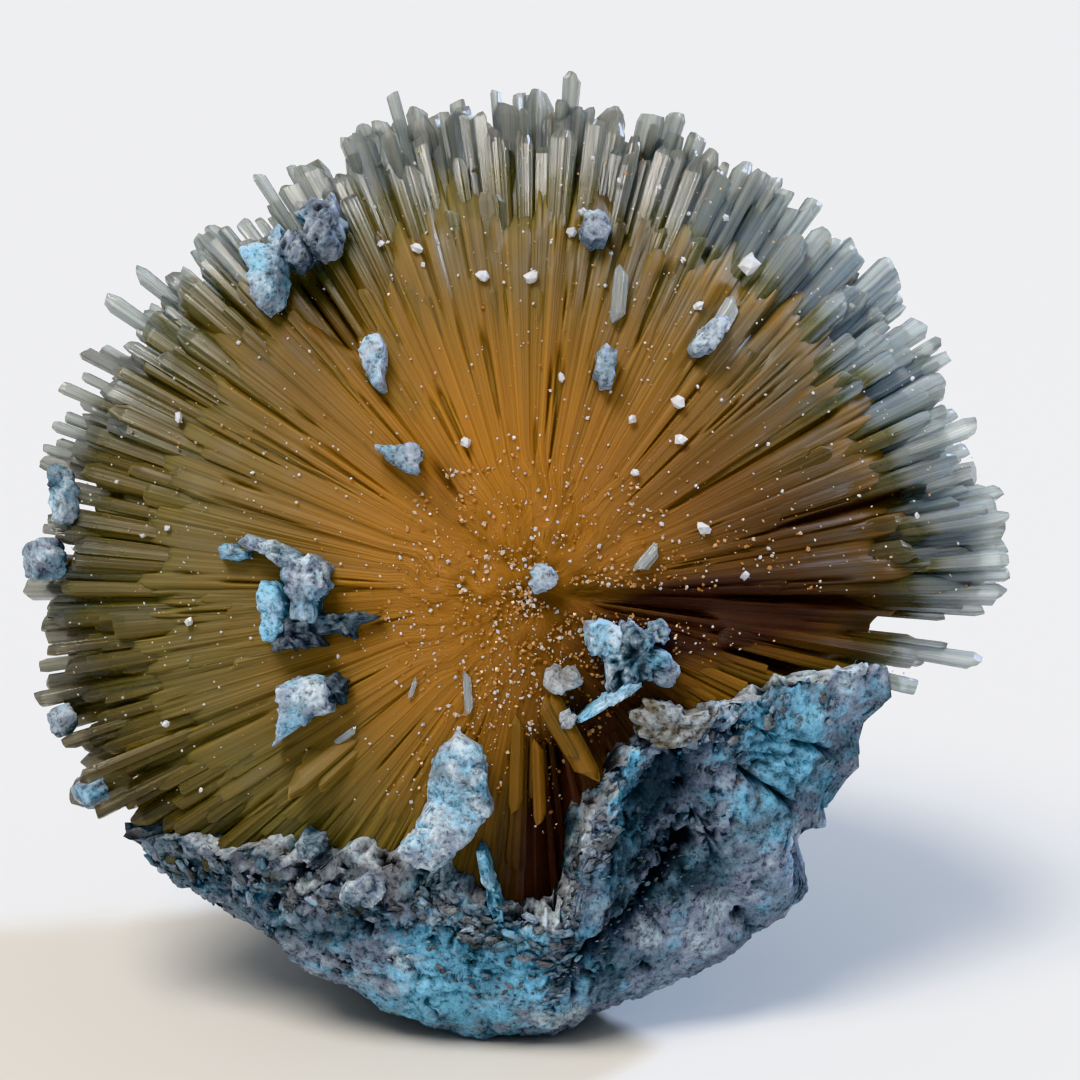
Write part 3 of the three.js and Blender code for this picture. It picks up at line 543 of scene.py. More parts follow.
crystals = {
    # clock, lean, reach, width and thickness of those that stand clear at the rim
    "leaders": [
        (85.5, 88, 51.5, 3, 2), (91, 84, 47.5, 1.5, 1.2), (94.5, 92, 45, 2.4, 1.6),
        (98, 86, 44.5, 2.3, 1.7), (103.5, 87, 48, 4.4, 2.2), (107.5, 83, 47.5, 2.6, 1.8),
        (112.5, 86, 48.5, 2.3, 1.8), (117, 82, 44.5, 2.5, 1.8), (125, 84, 45, 1.2, 1),
        (141, 88, 50.5, 2.6, 1.8), (145.5, 86, 51, 3, 2), (152, 88, 50.5, 2.3, 1.7),
        (156.5, 84, 50.5, 2.5, 1.7), (164, 86, 47.5, 2.9, 2), (171, 84, 47, 2.7, 1.8),
        (178, 86, 47, 2.9, 1.9), (184, 86, 48.5, 2.7, 1.8), (187, 83, 48, 2, 1.6),
        (192.5, 86, 50, 2.5, 1.8), (198, 84, 48.5, 2.7, 1.9), (202.5, 80, 48, 2.4, 1.8),
        (207, 82, 48, 2.5, 1.8), (80, 92, 48.5, 3.8, 2.2), (74.5, 88, 45, 2.2, 1.6),
        (67.5, 84, 47, 3.4, 2.2), (62, 90, 46, 1.9, 1.5), (59, 86, 46.5, 2.1, 1.6), (54, 84, 43, 3.2, 2),
        (49.5, 91, 45, 2.2, 1.6), (45.5, 88, 46, 2.8, 1.8), (40.5, 86, 43.5, 2.1, 1.7),
        (32.5, 86, 43.5, 2.3, 1.7), (26, 84, 45, 2.7, 2), (20.5, 82, 46.6, 3.5, 2.4),
        (12, 86, 47.5, 2.8, 2), (9, 82, 47.4, 2.8, 2), (7, 84, 46.6, 3.6, 2.6), (3.8, 83, 46.9, 3.4, 2.6),
        (-0.4, 84, 46.4, 3.4, 2.6), (10.4, 85, 46.4, 3.4, 2.4), (23.5, 84, 44.5, 2.6, 2.2),
        (5.5, 86, 47, 2.7, 1.9), (2, 84, 47, 2.5, 1.8), (-2.5, 89, 45, 2.4, 1.8), (-9, 82, 44.5, 2.9, 2),
        (-140.5, 66, 32.5, 4.2, 2.6),
    ],
    # how far in front those on the showy side start; and each leader is a bundle of three: how far off
    # across its width and thickness, how wide and how long
    "leaderLift": 9.0,
    "bundle": [(0.0, 0.0, 0.62, 1.0), (0.3, 0.12, 0.5, 0.96), (-0.32, -0.1, 0.46, 0.93)],
    "fill": {"count": 300, "wide": 3.4, "thick": 2.4, "shortest": 0.9, "wander": 0.5, "splay": 0.6},
    "rim": {"count": 1900, "wide": (1.2, 3.0), "flat": (0.5, 0.9), "reach": (0.8, 0.98), "wander": 0.9,
            "ahead": 0.13},
    # those shorter than full are slimmer too, and none on the face is wider than widest; tips stay the
    # skin inside the clay, and none grows where the clay's rim stands more degrees above it than under
    "full": 42, "widest": 2.8, "skin": 2.4, "under": 12,
    # their sides, how ridged they are and at what shares of their length they have rings
    "rimForm": {"sides": 6, "striation": 0.25, "heights": (0.6, 0.84)},
    "faceForm": {"sides": 12, "striation": 0.5, "heights": (0.04, 0.2, 0.4, 0.6, 0.8)},
    # the showy side: how far forward of the focus its middle and its edge stand, and its bow
    "face": {"lift": 14.8, "edge": 4.8, "bow": 2.8},
    # the long crystals that stand a little proud of it: how many, where their tips are as shares of the
    # way out to the rim and of the surface's height there, how far they stand out of it, their width
    # against their share of the round, and their flatness
    "layers": [
        (150, (0.9, 1.03), (1.0, 1.0), (-0.2, 0.4), (0.7, 1.5), (0.5, 0.75)),
        (170, (0.86, 1.0), (0.85, 1.0), (-0.9, -0.2), (0.8, 1.6), (0.5, 0.75)),
        (240, (0.84, 1.02), (0.1, 0.65), (0.0, 0.2), (0.8, 1.5), (0.5, 0.8)),
        (110, (0.5, 0.9), (1.0, 1.0), (-0.05, 0.3), (0.5, 1.2), (0.4, 0.6)),
    ],
    # the mass that the rest have grown into, out to a share of the rim, where it sinks and is ragged in
    # so many tabs; its back is a share of the reach; how far its crystals swing in fans and, near the
    # middle, in a tangle; how far it stays inside the clay; and what share the cleft takes off it
    "mass": {"columns": 1480, "front": 50, "back": 14, "edge": 0.9, "ragged": 0.1, "sink": 3.2,
             "share": 0.8, "fan": 0.09, "tangle": 0.9, "knobs": 0.9, "skin": 4.0, "tabs": 130,
             "cleft": 0.06},
    # the rounds of crystals lying side by side that make its surface: how many go round, where they end
    # as shares of the way out, and how uneven their tops are
    "rounds": [
        (92, (0.95, 1.2), 0.45), (160, (0.5, 1.15), 0.42), (290, (0.25, 1.0), 0.26), (480, (0.15, 0.9), 0.14),
    ],
    # gaps in it: clock, from and to as shares of the way out, half width and depth
    "gaps": [
        (-12, 0.13, 0.42, 1.3, 2.6), (-1, 0.38, 0.8, 1.0, 3.0), (-18, 0.4, 0.9, 1.6, 2.2),
        (126, 0.58, 0.88, 2.2, 3.2), (127, 0.19, 0.34, 0.45, 0.9), (-84, 0.36, 1.0, 4.6, 4.5),
        (-64, 0.5, 0.9, 2.2, 2.5), (66, 0.5, 0.72, 0.6, 1.6), (30, 0.3, 0.75, 0.7, 1.4),
        (14, 0.5, 0.86, 0.8, 1.8), (-128, 0.6, 0.9, 0.7, 1.3), (-152, 0.55, 0.9, 0.6, 1.1),
        (48, 0.62, 0.88, 0.8, 1.6), (84, 0.66, 0.84, 0.4, 0.9), (108, 0.7, 0.9, 0.6, 1.2),
    ],
    # and fine slits between crystals: how many, where they start, their length, half width and depth
    "slits": {"count": 150, "from": (0.2, 0.8), "long": (0.1, 0.3), "wide": (0.1, 0.28), "deep": (0.4, 1.2)},
}


def evenDirections(count, wander, seeds):
    # a spiral with equal area for each point, nudged by a share of its spacing
    i = np.arange(count)
    z = 1 - 2 * (i + 0.5) / count
    turn = i * np.pi * (3 - np.sqrt(5))
    out = np.sqrt(1 - z * z)
    nudge = (scatterVector(i, seeds) - 0.5) * (np.sqrt(4 * np.pi / count) * wander)
    return i, unit(np.stack([out * np.cos(turn), out * np.sin(turn), z], -1) + nudge)


def clearOf(d, under, cleft):
    # true where a direction is neither well under the clay's rim nor in the cleft
    covered = dropOf(d) < cupAt(turnOf(d), "drop") - under
    return ~covered & (inCleft(d) < cleft)


def underClay(d, to, skin):
    # those that end under the clay stay that far inside its outer face
    turn, drop = np.mod(turnOf(d), 360), dropOf(d)
    share = drop / cupAt(turn, "drop")
    inside = cupRadius(turn, drop, np.minimum(share, 1)) - skin
    return np.where(share < 1.04, np.minimum(to, inside), to)


def kept(table, use):
    # the rows of a table that are used
    return {key: value[use] for key, value in table.items()}


def joined(tables):
    # several tables as one
    return {key: np.concatenate([table[key] for table in tables]) for key in tables[0]}


def crystalRow(i, tip, wide, thick, seed, slant, lift=0.0, bow=0.0, shiftX=0.0, shiftY=0.0, turned=np.pi):
    # a table of alike crystals: where each ends, its form, its turn about its own axis and its end's slant
    zero = np.zeros(len(i))
    return dict(tip=tip, lift=zero + lift, bow=zero + bow, wide=wide, thick=thick, shiftX=zero + shiftX,
                shiftY=zero + shiftY, spin=(scatter(i, seed) - 0.5) * turned,
                slant=slant * (scatter(i, seed + 1) - 0.5))


def leaderRows():
    # each leader is a bundle, which gives it a stepped end; those on the showy side start in front
    lead = np.array(crystals["leaders"], float)
    i = np.arange(len(lead))
    d = facing(lead[:, 0], lead[:, 1])
    lift = crystals["leaderLift"] * smooth((d @ towards) / 0.1)
    rows = []
    for k, (acrossX, acrossY, share, long) in enumerate(crystals["bundle"]):
        to = lead[:, 2] * (long - 0.05 * scatter(i, 60 + k) * (k > 0))
        rows.append(crystalRow(i, d * to[:, None], lead[:, 3] * share, lead[:, 4] * (share + 0.25), 9, 1.0,
                               lift, 0.0, lead[:, 3] * acrossX, lead[:, 4] * acrossY, 0.7))
    return rows


def rimTable():
    # those that stand clear round the rim and all over the back: the leaders, stout ones evenly apart,
    # and many slim ones, long and short in patches
    rows = leaderRows()
    fill, rim = crystals["fill"], crystals["rim"]
    i, d = evenDirections(fill["count"], fill["wander"], (1, 2, 3))
    d = unit(d + towards * ((fill["splay"] - 1) * np.maximum(0, d @ towards))[:, None])
    to = underClay(d, reachTo(d) * between((fill["shortest"], 1), scatter(i, 4)), crystals["skin"])
    size = 0.7 + 0.6 * scatter(i, 5)
    slim = np.minimum(1, 0.3 + 0.7 * to / crystals["full"])
    row = crystalRow(i, d * to[:, None], fill["wide"] * size * slim, fill["thick"] * size * slim, 7, 1.2)
    rows.append(kept(row, clearOf(d, crystals["under"], 0.45) & (d @ towards < rim["ahead"])))
    i, d = evenDirections(rim["count"], rim["wander"], (31, 32, 33))
    share = between(rim["reach"], scatter(i, 34) ** 0.8) + fractalNoise(d * 10, 1.0, 2, 5) * 0.13 - 0.01
    share = np.maximum(share, 0.84 + 0.04 * scatter(i, 38))
    to = underClay(d, reachTo(d) * share * (1 - 0.12 * inCleft(d)), crystals["skin"])
    wide = between(rim["wide"], scatter(i, 35) ** 1.3)
    row = crystalRow(i, d * to[:, None], wide, wide * between(rim["flat"], scatter(i, 36)), 37, 1.4)
    rows.append(kept(row, clearOf(d, crystals["under"], 0.97) & (d @ towards < rim["ahead"])))
    return joined(rows)


def onSurface(rho, clock):
    # the place on the ellipsoid of the showy side at a share of the way out to the rim
    x, z = rho * np.cos(clock), rho * np.sin(clock)
    y = ball["reach"]["front"] * np.sqrt(np.maximum(0.0, 1 - rho * rho))
    side, rise = rimReach(x, z)
    return np.stack([x * side, y, z * rise], -1)


def outShare(local):
    # the way out to the rim as a share, for places in the ball's own axes
    side, rise = rimReach(local[..., 0], local[..., 2])
    return np.hypot(local[..., 0] / side, local[..., 2] / rise)


def faceHeight(out):
    # how far forward of the focus the showy side stands at a share of the way out to the rim: a shallow,
    # slightly bowed cone that rolls over at the rim
    face = crystals["face"]
    cone = face["lift"] - (face["lift"] - face["edge"]) * out + 4 * face["bow"] * out * (1 - out)
    return np.minimum(cone, ball["reach"]["front"] * np.sqrt(np.maximum(0, 1 - out * out)))


def faceAt(local):
    # the same at a place in the ball's own axes
    return faceHeight(outShare(local))


def gapDepth(clock, out):
    # how deep the gaps and slits are: each a groove that widens on its way out, with soft ends
    slits = crystals["slits"]
    i = np.arange(slits["count"])
    start = between(slits["from"], scatter(i, 71))
    more = zip(360 * scatter(i, 72), start, start + between(slits["long"], scatter(i, 73)),
               between(slits["wide"], scatter(i, 74)), between(slits["deep"], scatter(i, 75)))
    depth = 0.0
    for at, first, last, half, deep in crystals["gaps"] + list(more):
        off = np.radians(roundFrom(np.degrees(clock), at)) * rimRound * out
        grown = half * (0.25 + 0.75 * smooth((out - first) / (last - first)))
        groove = deep * np.exp(-((off / grown) ** 2)) * smooth((out - first) / 0.08)
        depth = depth + groove * smooth((last - out) / 0.05)
    return depth


def faceTable():
    # those whose flanks lie bare on the showy side: they start just in front of the focus and lie flat,
    # in fans, apart from the gaps and the cleft
    rows, lift = [], crystals["face"]["lift"]
    for k, (count, outAt, heightAt, standAt, wideAt, flatAt) in enumerate(crystals["layers"]):
        seed = 100 + 10 * k
        i = np.arange(count)
        clock = (i + 0.9 * (scatter(i, seed) - 0.5)) * 2 * np.pi / count
        fan = fractalNoise(onCircle(clock, 0 * clock) * 9, 1.0, 2, seed)
        rho = between(outAt, scatter(i, seed + 1)) + 0.07 * fan
        local = onSurface(rho, clock)
        # those that would come out under the clay end just behind its rim
        for share in np.linspace(1, 0.3, 50):
            d = unit(local @ ballAxes)
            covered = dropOf(d) < cupAt(turnOf(d), "drop") - 3
            local = np.where(covered[:, None], onSurface(rho * share, clock), local)
        d = unit(local @ ballAxes)
        cleft = inCleft(d)
        local = local * (hollowed(d) * (1 - 0.3 * cleft))[:, None]
        out = outShare(local)
        spaced = 2 * np.pi * np.hypot(local[:, 0], local[:, 2]) / count
        wide = np.minimum(spaced * between(wideAt, scatter(i, seed + 3) ** 1.5), crystals["widest"])
        thick = wide * between(flatAt, scatter(i, seed + 4))
        stand = between(standAt, scatter(i, seed + 6)) - thick / 2
        local[:, 1] = faceHeight(out) * between(heightAt, scatter(i, seed + 2)) + stand
        bow = faceHeight(out / 2) - (lift + faceHeight(out)) / 2
        row = crystalRow(i, local @ ballAxes, wide, thick, seed + 5, 0.8, lift - 1, bow, 0.0, 0.0, 0.5)
        gaps = np.max([gapDepth(clock, out * s) for s in (0.5, 0.7, 0.85, 0.98)], 0)
        deepLayer = heightAt[0] < 0.5
        rows.append(kept(row, (cleft < 0.7) & (gaps < 0.9) | deepLayer & (cleft < 0.97)))
    return joined(rows)


def seated(t):
    # tips end inside the scraps that lie on them: each is cut to where its way out passes the lump
    to = np.linalg.norm(t["tip"], axis=1)
    d = t["tip"] / to[:, None]
    for centre, half, thick, out in lumpMiddles():
        way = centre - focus - out * thick * 0.15
        along = d @ way
        off = np.linalg.norm(way[None] - d * along[:, None], axis=1)
        to = np.where((off < half + 0.4) & (along > 0), np.minimum(to, along), to)
    t["tip"] = d * to[:, None]
    return t


tints = {
    # soft patches on the showy side: right and up of the focus, their half sizes and strength
    # the first list darkens to deep red-brown: painted shade in the cleft, the cavity below the focus, small
    # crevices and over the right and lower right, and rust stains near the rim
    "ember": [
        (15, -2, 9, 3.6, 0.95), (26, -3, 16, 4.5, 0.7), (8, -7, 8, 5, 0.5), (3, -22, 7, 13, 0.95),
        (-21, 28, 3.5, 6, 0.5), (-8, 10, 1.4, 3.5, 0.4), (20, 12, 16, 7, 0.35), (12, -13, 9, 5, 0.6),
        (7.3, 38.6, 1.8, 2.2, 0.6), (10.8, 39, 1.3, 1.8, 0.6), (-4.2, 39.4, 0.9, 1.7, 0.5),
        (8.8, 35.3, 2, 2, 0.4), (-44.5, 23.3, 1.3, 1.6, 0.5), (-45.5, 11, 1.4, 1.1, 0.5),
        (25, 5, 14, 6, 0.62), (2, -30, 10, 7, 0.5),
    ],
    "olive": [(-40, -8, 22, 22, 0.8), (-26, -24, 20, 12, 0.7), (-33, 14, 15, 15, 0.45), (0, 42, 30, 12, 0.6)],
}


def crystalValues(points, tone, grain):
    # outward: 0 at the focus and 1 at the tips, across the showy side as it is seen; and the patches
    q = points - focus
    local = q @ ballAxes.T
    d = unit(q)
    share, _ = shareOf(q)
    flat = np.hypot(share[:, 0], share[:, 2])
    full = np.linalg.norm(share, axis=1)
    outward = (flat + (full - flat) * smooth(-local[:, 1] / 14)) * ellipsoidAt(d) / reachTo(d)
    # clearer at the upper right, about clock 50, and cloudier behind
    clock = np.degrees(np.arctan2(local[:, 2], local[:, 0]))
    outward = outward + 0.1 * smooth(1.15 - np.abs(clock - 50) / 85) - 0.02
    outward = outward - 0.12 * smooth((-local[:, 1] - 4) / 8)
    values = {"outward": outward, "tone": tone, "grain": grain}
    for key, patches in tints.items():
        total = 0.0
        for x, z, wide, tall, strength in patches:
            total = total + strength * bell((local[:, 0] - x) / wide, (local[:, 2] - z) / tall)
        values[key] = np.clip(total * smooth((local[:, 1] + 18) / 12), 0, 1)
    return values


def prismArrays(t, sides, striation, heights):
    # each crystal is a prism: rings at rising heights, the last two drawn in and slanted into a chisel
    # end. The section is an ellipse whose corners stand in and out, which gives it lengthwise ridges
    n = len(t["tip"])
    i = np.arange(n)
    tip = focus + t["tip"]
    base = focus + towards * t["lift"][:, None]
    long = np.linalg.norm(tip - base, axis=1)
    axis = (tip - base) / long[:, None]
    level = np.abs(axis @ towards) < 0.9
    side = unit(np.cross(np.where(level[:, None], towards, upward), axis))
    other = np.cross(axis, side)
    c, s = np.cos(t["spin"])[:, None], np.sin(t["spin"])[:, None]
    side, other = side * c + other * s, other * c - side * s
    corner = np.arange(sides) * 2 * np.pi / sides
    wobble = 1 + striation * (scatter(i[:, None] * sides + np.arange(sides), 50) - 0.5)
    x = np.cos(corner) * t["wide"][:, None] / 2 * wobble
    y = np.sin(corner) * t["thick"][:, None] / 2 * wobble
    tipLong = np.minimum(t["wide"] * (0.15 + 0.55 * scatter(i, 51)), long * 0.3)
    chiselX, chiselY = 0.45 + 0.5 * scatter(i, 52), 0.6 + 0.35 * scatter(i, 53)
    rings = [(long * h, h, h, 0.0) for h in heights]  # height, across X, across Y, slant
    rings += [(long - tipLong, 1.0, 1.0, 0.5), (long, chiselX, chiselY, 1.0)]
    points = []
    for height, acrossX, acrossY, slant in rings:
        grow = np.minimum(1.0, height / long)[:, None]
        rx = x * np.broadcast_to(acrossX, (n,))[:, None] + t["shiftX"][:, None] * grow
        ry = y * np.broadcast_to(acrossY, (n,))[:, None] + t["shiftY"][:, None] * grow
        up = height[:, None] + slant * t["slant"][:, None] * x
        bowed = 4 * t["bow"][:, None] * grow * (1 - grow)
        points.append(base[:, None] + axis[:, None] * up[..., None] + towards * bowed[..., None]
                      + side[:, None] * rx[..., None] + other[:, None] * ry[..., None])
    points = np.stack(points, 1).reshape(-1, 3)
    loops, sizes = manyGrids(n, len(rings), sides)
    tone = np.repeat(scatter(i, 57), len(rings) * sides)
    # the grain runs along each crystal: a place on the unit circle by its clock and the corner's offset
    clock = np.arctan2(t["tip"] @ upward, t["tip"] @ rightward)[:, None] + x / rimRound
    grain = onCircle(clock, y / rimRound + 3 * scatter(i, 58)[:, None])
    grain = np.repeat(grain[:, None], len(rings), 1).reshape(-1, 3)
    return points, loops, sizes, crystalValues(points, tone, grain)


def roundOf(clock, out, count, endsAt, uneven, seed):
    # one round of crystals lying side by side: unevenly wide, each top at its own height and tilt, with a
    # groove between neighbours, and a step down where one ends. Also each one's own random value
    i = np.arange(count)
    edges = (i + 0.8 * (scatter(i, seed) - 0.5)) / count
    ends = np.append(edges[1:], edges[0] + 1)
    x = np.mod(clock / (2 * np.pi) - edges[0], 1) + edges[0]
    k = np.clip(np.searchsorted(edges, x, side="right") - 1, 0, count - 1)
    wide = ends[k] - edges[k]
    across = 2 * (x - edges[k]) / wide - 1
    width = wide * 2 * np.pi * rimRound * out
    top = uneven * (2 * scatter(k, seed + 1) - 1) + 0.3 * width * across * (scatter(k, seed + 2) - 0.5)
    top = (top - 0.28 * across ** 6) * np.minimum(1, width / 1.8)
    past = smooth((out - between(endsAt, scatter(k, seed + 3))) * rimRound / 0.9)
    return top - 1.6 * past, scatter(k, seed + 4)


def massArrays():
    # a closed grid over the clock and the way out along the front, then over the lean round the back:
    # the face's height, with the rounds of crystals on it, knobs near the middle, the gaps cut in, and
    # sunk at its edge
    mass = crystals["mass"]
    clock = np.radians(np.arange(mass["columns"]) * 360 / mass["columns"])[None]
    edge = mass["edge"] * (1 - mass["ragged"] * roundOf(clock, 1.0, mass["tabs"], (2, 3), 0.0, 490)[1])
    step = np.linspace(0.01, 1, mass["front"])[:, None]
    out = step * edge
    side, rise = rimReach(np.cos(clock), np.sin(clock))
    x = out * np.cos(clock) * side
    z = out * np.sin(clock) * rise
    flat = np.stack([x, z, 0 * x], -1)
    # the crystals swing a little off the straight way out, in fans, and lie in a tangle near the middle
    ring = onCircle(clock, out)
    swung = clock + mass["fan"] * out * fractalNoise(ring * (2.4, 2.4, 0.3), 1.0, 3, 44)
    swung = swung + mass["tangle"] * (1 - smooth(out / 0.3)) * fractalNoise(flat, 5, 3, 46)
    height, tone = np.full(ring.shape[:2], -9.0), np.zeros(ring.shape[:2])
    for n, (count, endsAt, uneven) in enumerate(crystals["rounds"]):
        top, look = roundOf(swung, out, count, endsAt, uneven, 400 + 10 * n)
        tone = np.where(top > height, look, tone)
        height = np.maximum(height, top)
    gap = gapDepth(clock, out)
    knobs = mass["knobs"] * fractalNoise(flat, 1.6, 3, 47) * (1 - smooth((out - 0.04) / 0.26))
    y = faceHeight(out) + height + knobs - gap - mass["sink"] * smooth((step - 0.84) / 0.16)
    front = np.stack([x, y, z], -1) @ ballAxes
    d = unit(front)
    front = front * (hollowed(d) * (1 - mass["cleft"] * inCleft(d)))[..., None]
    front = d * underClay(d, np.linalg.norm(front, axis=-1), mass["skin"])[..., None]
    # the back starts at the front's last row, and comes to its own share of the reach in a few rows
    last = front[-1]
    lean = np.degrees(np.arccos(np.clip(unit(last) @ towards, -1, 1)))[None]
    turned = np.linspace(0, 1, mass["back"] + 1)[1:, None]
    d = facing(np.degrees(np.arctan2(last @ upward, last @ rightward))[None], lean + (179.4 - lean) * turned)
    met = np.linalg.norm(last, axis=-1) / reachTo(unit(last))
    share = mass["share"] + (met - mass["share"]) * (1 - smooth(turned * 6))
    share = share + fractalNoise(onCircle(clock, 3 * turned) * 12, 1.0, 3, 46) * 0.02
    back = d * underClay(d, reachTo(d) * share * (1 - mass["cleft"] * inCleft(d)), mass["skin"])[..., None]
    points = focus + np.concatenate([front, back]).reshape(-1, 3)
    swung, tone, deep = [np.concatenate([a, np.repeat(a[-1:], mass["back"], 0)]) for a in (swung, tone, gap)]
    values = crystalValues(points, tone.reshape(-1), onCircle(swung, 0 * swung).reshape(-1, 3))
    # the deeper a gap, the darker red-brown: painted shade in the gaps
    values["ember"] = np.clip(values["ember"] + 0.3 * deep.reshape(-1), 0, 1)
    # its outer edge lies deeper among the tips, and is cloudier than they are
    edged = np.full(swung.shape, 0.6)
    edged[:mass["front"]] = smooth((step - 0.76) / 0.16)
    values["outward"] = values["outward"] - 0.34 * edged.reshape(-1)
    values["olive"] = np.clip(values["olive"] + 0.6 * edged.reshape(-1), 0, 1)
    loops, sizes = closedGrid(mass["front"] + mass["back"], mass["columns"])
    return points, loops, sizes, values


def amberCrystal():
    # honey-coloured crystal, grown: silky and clouded inside, so the light spreads in it, with fine lines
    # that all run outwards, and glassy and almost without colour at the tips
    material, tree = newMaterial("grown amber crystal")
    place = addNode(tree, "ShaderNodeTexCoord")["Object"]
    grain = attributeOf(tree, "grain", "Vector")
    outward, tone, ember, olive = [attributeOf(tree, key) for key in ("outward", "tone", "ember", "olive")]
    # lines 0.4 mm apart near the rim: a noise of the way outwards alone, so it runs along the crystals
    lines = noiseOf(tree, grain, 110.0, 4.0, 0.65)
    reach = timesPlus(tree, lines, 0.1, timesPlus(tree, tone, 0.08, outward))
    # honey in the middle, going grey-green and then pale at the tips: the crystal's own colour, and its
    # brighter honey out to 0.4 of the way is also painted glow of light spread in the core
    colour = rampOf(tree, reach, (0.1, "#a87024"), (0.4, "#ac752a"), (0.66, "#8c6628"), (0.86, "#6f5c28"),
                    (0.95, "#7c7f60"), (1.03, "#dfe9ea"))
    colour = covered(tree, colour, olive, "#6c6034")
    # deep red-brown patches: painted shade in the cleft, the cavity and the gaps, and rust stains near the
    # rim
    colour = covered(tree, colour, ember, "#331605")
    # light and dark lines, which fade out in the tangle near the middle, and broader swathes
    fade = rampOf(tree, outward, (0.04, 0.3), (0.25, 1.0))
    colour = shaded(tree, colour, rampOf(tree, lines, (0.33, 0.6), (0.5, 0.97), (0.66, 1.25)), fade)
    swathe = rampOf(tree, noiseOf(tree, grain, 9.0, 3.0), (0.3, 0.84), (0.7, 1.08))
    colour = shaded(tree, colour, swathe)
    # the tips let the light through, and are smoothest where they are clearest
    clear = rampOf(tree, reach, (0.7, 0.03), (0.94, 0.42), (1.03, 0.74))
    misty = timesPlus(tree, noiseOf(tree, place, 420.0, 4.0), 0.5, clear)
    rough = addNode(tree, "ShaderNodeMapRange", {"Value": misty, "From Min": 0.3, "From Max": 0.95,
                                                 "To Min": 0.62, "To Max": 0.04})[0]
    relief = addNode(tree, "ShaderNodeBump", {"Strength": 0.7, "Distance": 0.00025, "Height": lines})[0]
    shader = addNode(tree, "ShaderNodeBsdfPrincipled", {
        "Base Color": colour, "Transmission Weight": clear, "Roughness": rough, "Normal": relief,
        "IOR": 1.53, "Subsurface Weight": 0.55, "Subsurface Radius": (1.0, 0.55, 0.22),
        "Subsurface Scale": 0.0035})[0]
    smoke = addNode(tree, "ShaderNodeVolumeAbsorption", {"Color": linear("#e2b878"), "Density": 18.0})[0]
    addNode(tree, "ShaderNodeOutputMaterial", {"Surface": shader, "Volume": smoke})
    return material


amber = amberCrystal()
rim, face = seated(rimTable()), faceTable()
for name, table, form in (("rim_crystals", rim, "rimForm"), ("face_crystals", face, "faceForm")):
    finish(meshPiece(name, *prismArrays(table, **crystals[form])), amber, "crystal", "crystal_spray")
finish(meshPiece("crystal_roots", *massArrays(), True), amber, "crystal", "crystal_spray")
print("crystals:", len(rim["tip"]), "round the rim and", len(face["tip"]), "on the face")


# the sizes in millimetres of the forms in the clay: its levels and the patches they are broken in, the
# cracks' patches, two sizes of crumbs, leafy crests, grain and low swells
relief = {"level": 7.5, "broken": 8, "cracked": 4, "crumb": 1.9, "fine": 0.95, "crest": 2.0, "grain": 0.55,
          "swell": 4.5}


def clayRelief(p, crumbly, pitted):
    # height in millimetres: a few levels that break off sharply, crumbs of two sizes on the broken
    # parts and grain everywhere; and how deep a point lies in a crack or pit, 0 to 1, less where it stands
    # high: painted shade in the cracks and pits and a painted highlight on the tops
    warped = p + noiseVector(p, 2.6, 3, (51, 53, 55)) * 1.6
    near, far, value = cellNoise(warped, relief["level"], 3)
    broken = smooth((fractalNoise(p, relief["broken"], 2, 57) + 0.05) / 0.25)
    plates = 0.7 * (value - 0.5) * broken
    cracked = smooth((fractalNoise(p, relief["cracked"], 2, 58) + 0.1) / 0.2)
    gap = (1 - smooth((far - near) * relief["level"] / 0.4)) * broken * cracked
    bent = p + noiseVector(p, 0.9, 2, (65, 67, 69)) * 0.45
    near, _, value = cellNoise(bent, relief["crumb"], 8)
    small, _, smallValue = cellNoise(bent, relief["fine"], 12)
    lumps = (0.8 * (value - 0.45) - 0.5 * near * near) * crumbly
    lumps = 0.6 * lumps + 0.6 * (0.4 * (smallValue - 0.4) - 0.35 * small * small) * (0.25 + 0.75 * crumbly)
    # leafy crests with hollows between them: 1 - 2.6 |noise|
    crest = np.maximum(-0.6, 1 - 2.6 * np.abs(fractalNoise(bent, relief["crest"], 3, 71)))
    lumps = lumps + 0.55 * (crest - 0.3) * (0.12 + 0.88 * crumbly)
    holes = smooth((value - 0.6) / 0.12) * (1 - smooth((near - 0.12) / 0.3))
    holes = holes + smooth((smallValue - 0.75) / 0.1) * (1 - smooth((small - 0.1) / 0.3))
    holes = np.clip(holes + smooth((-0.05 - crest) / 0.35), 0, 1) * pitted
    grain = 0.12 * fractalNoise(p, relief["grain"], 2, 19) + 0.55 * fractalNoise(p, relief["swell"], 4, 17)
    height = plates + lumps + grain - 0.5 * gap - holes
    # painted shade: the cracks, the holes and low ground; below zero, for a painted highlight, on raised
    # crumbs
    pit = np.clip(0.8 * gap + holes + 0.9 * smooth(-(lumps + grain * 0.8) / 0.4 - 0.25), 0, 1)
    return height, pit - 0.8 * smooth((lumps + grain) / 0.45)


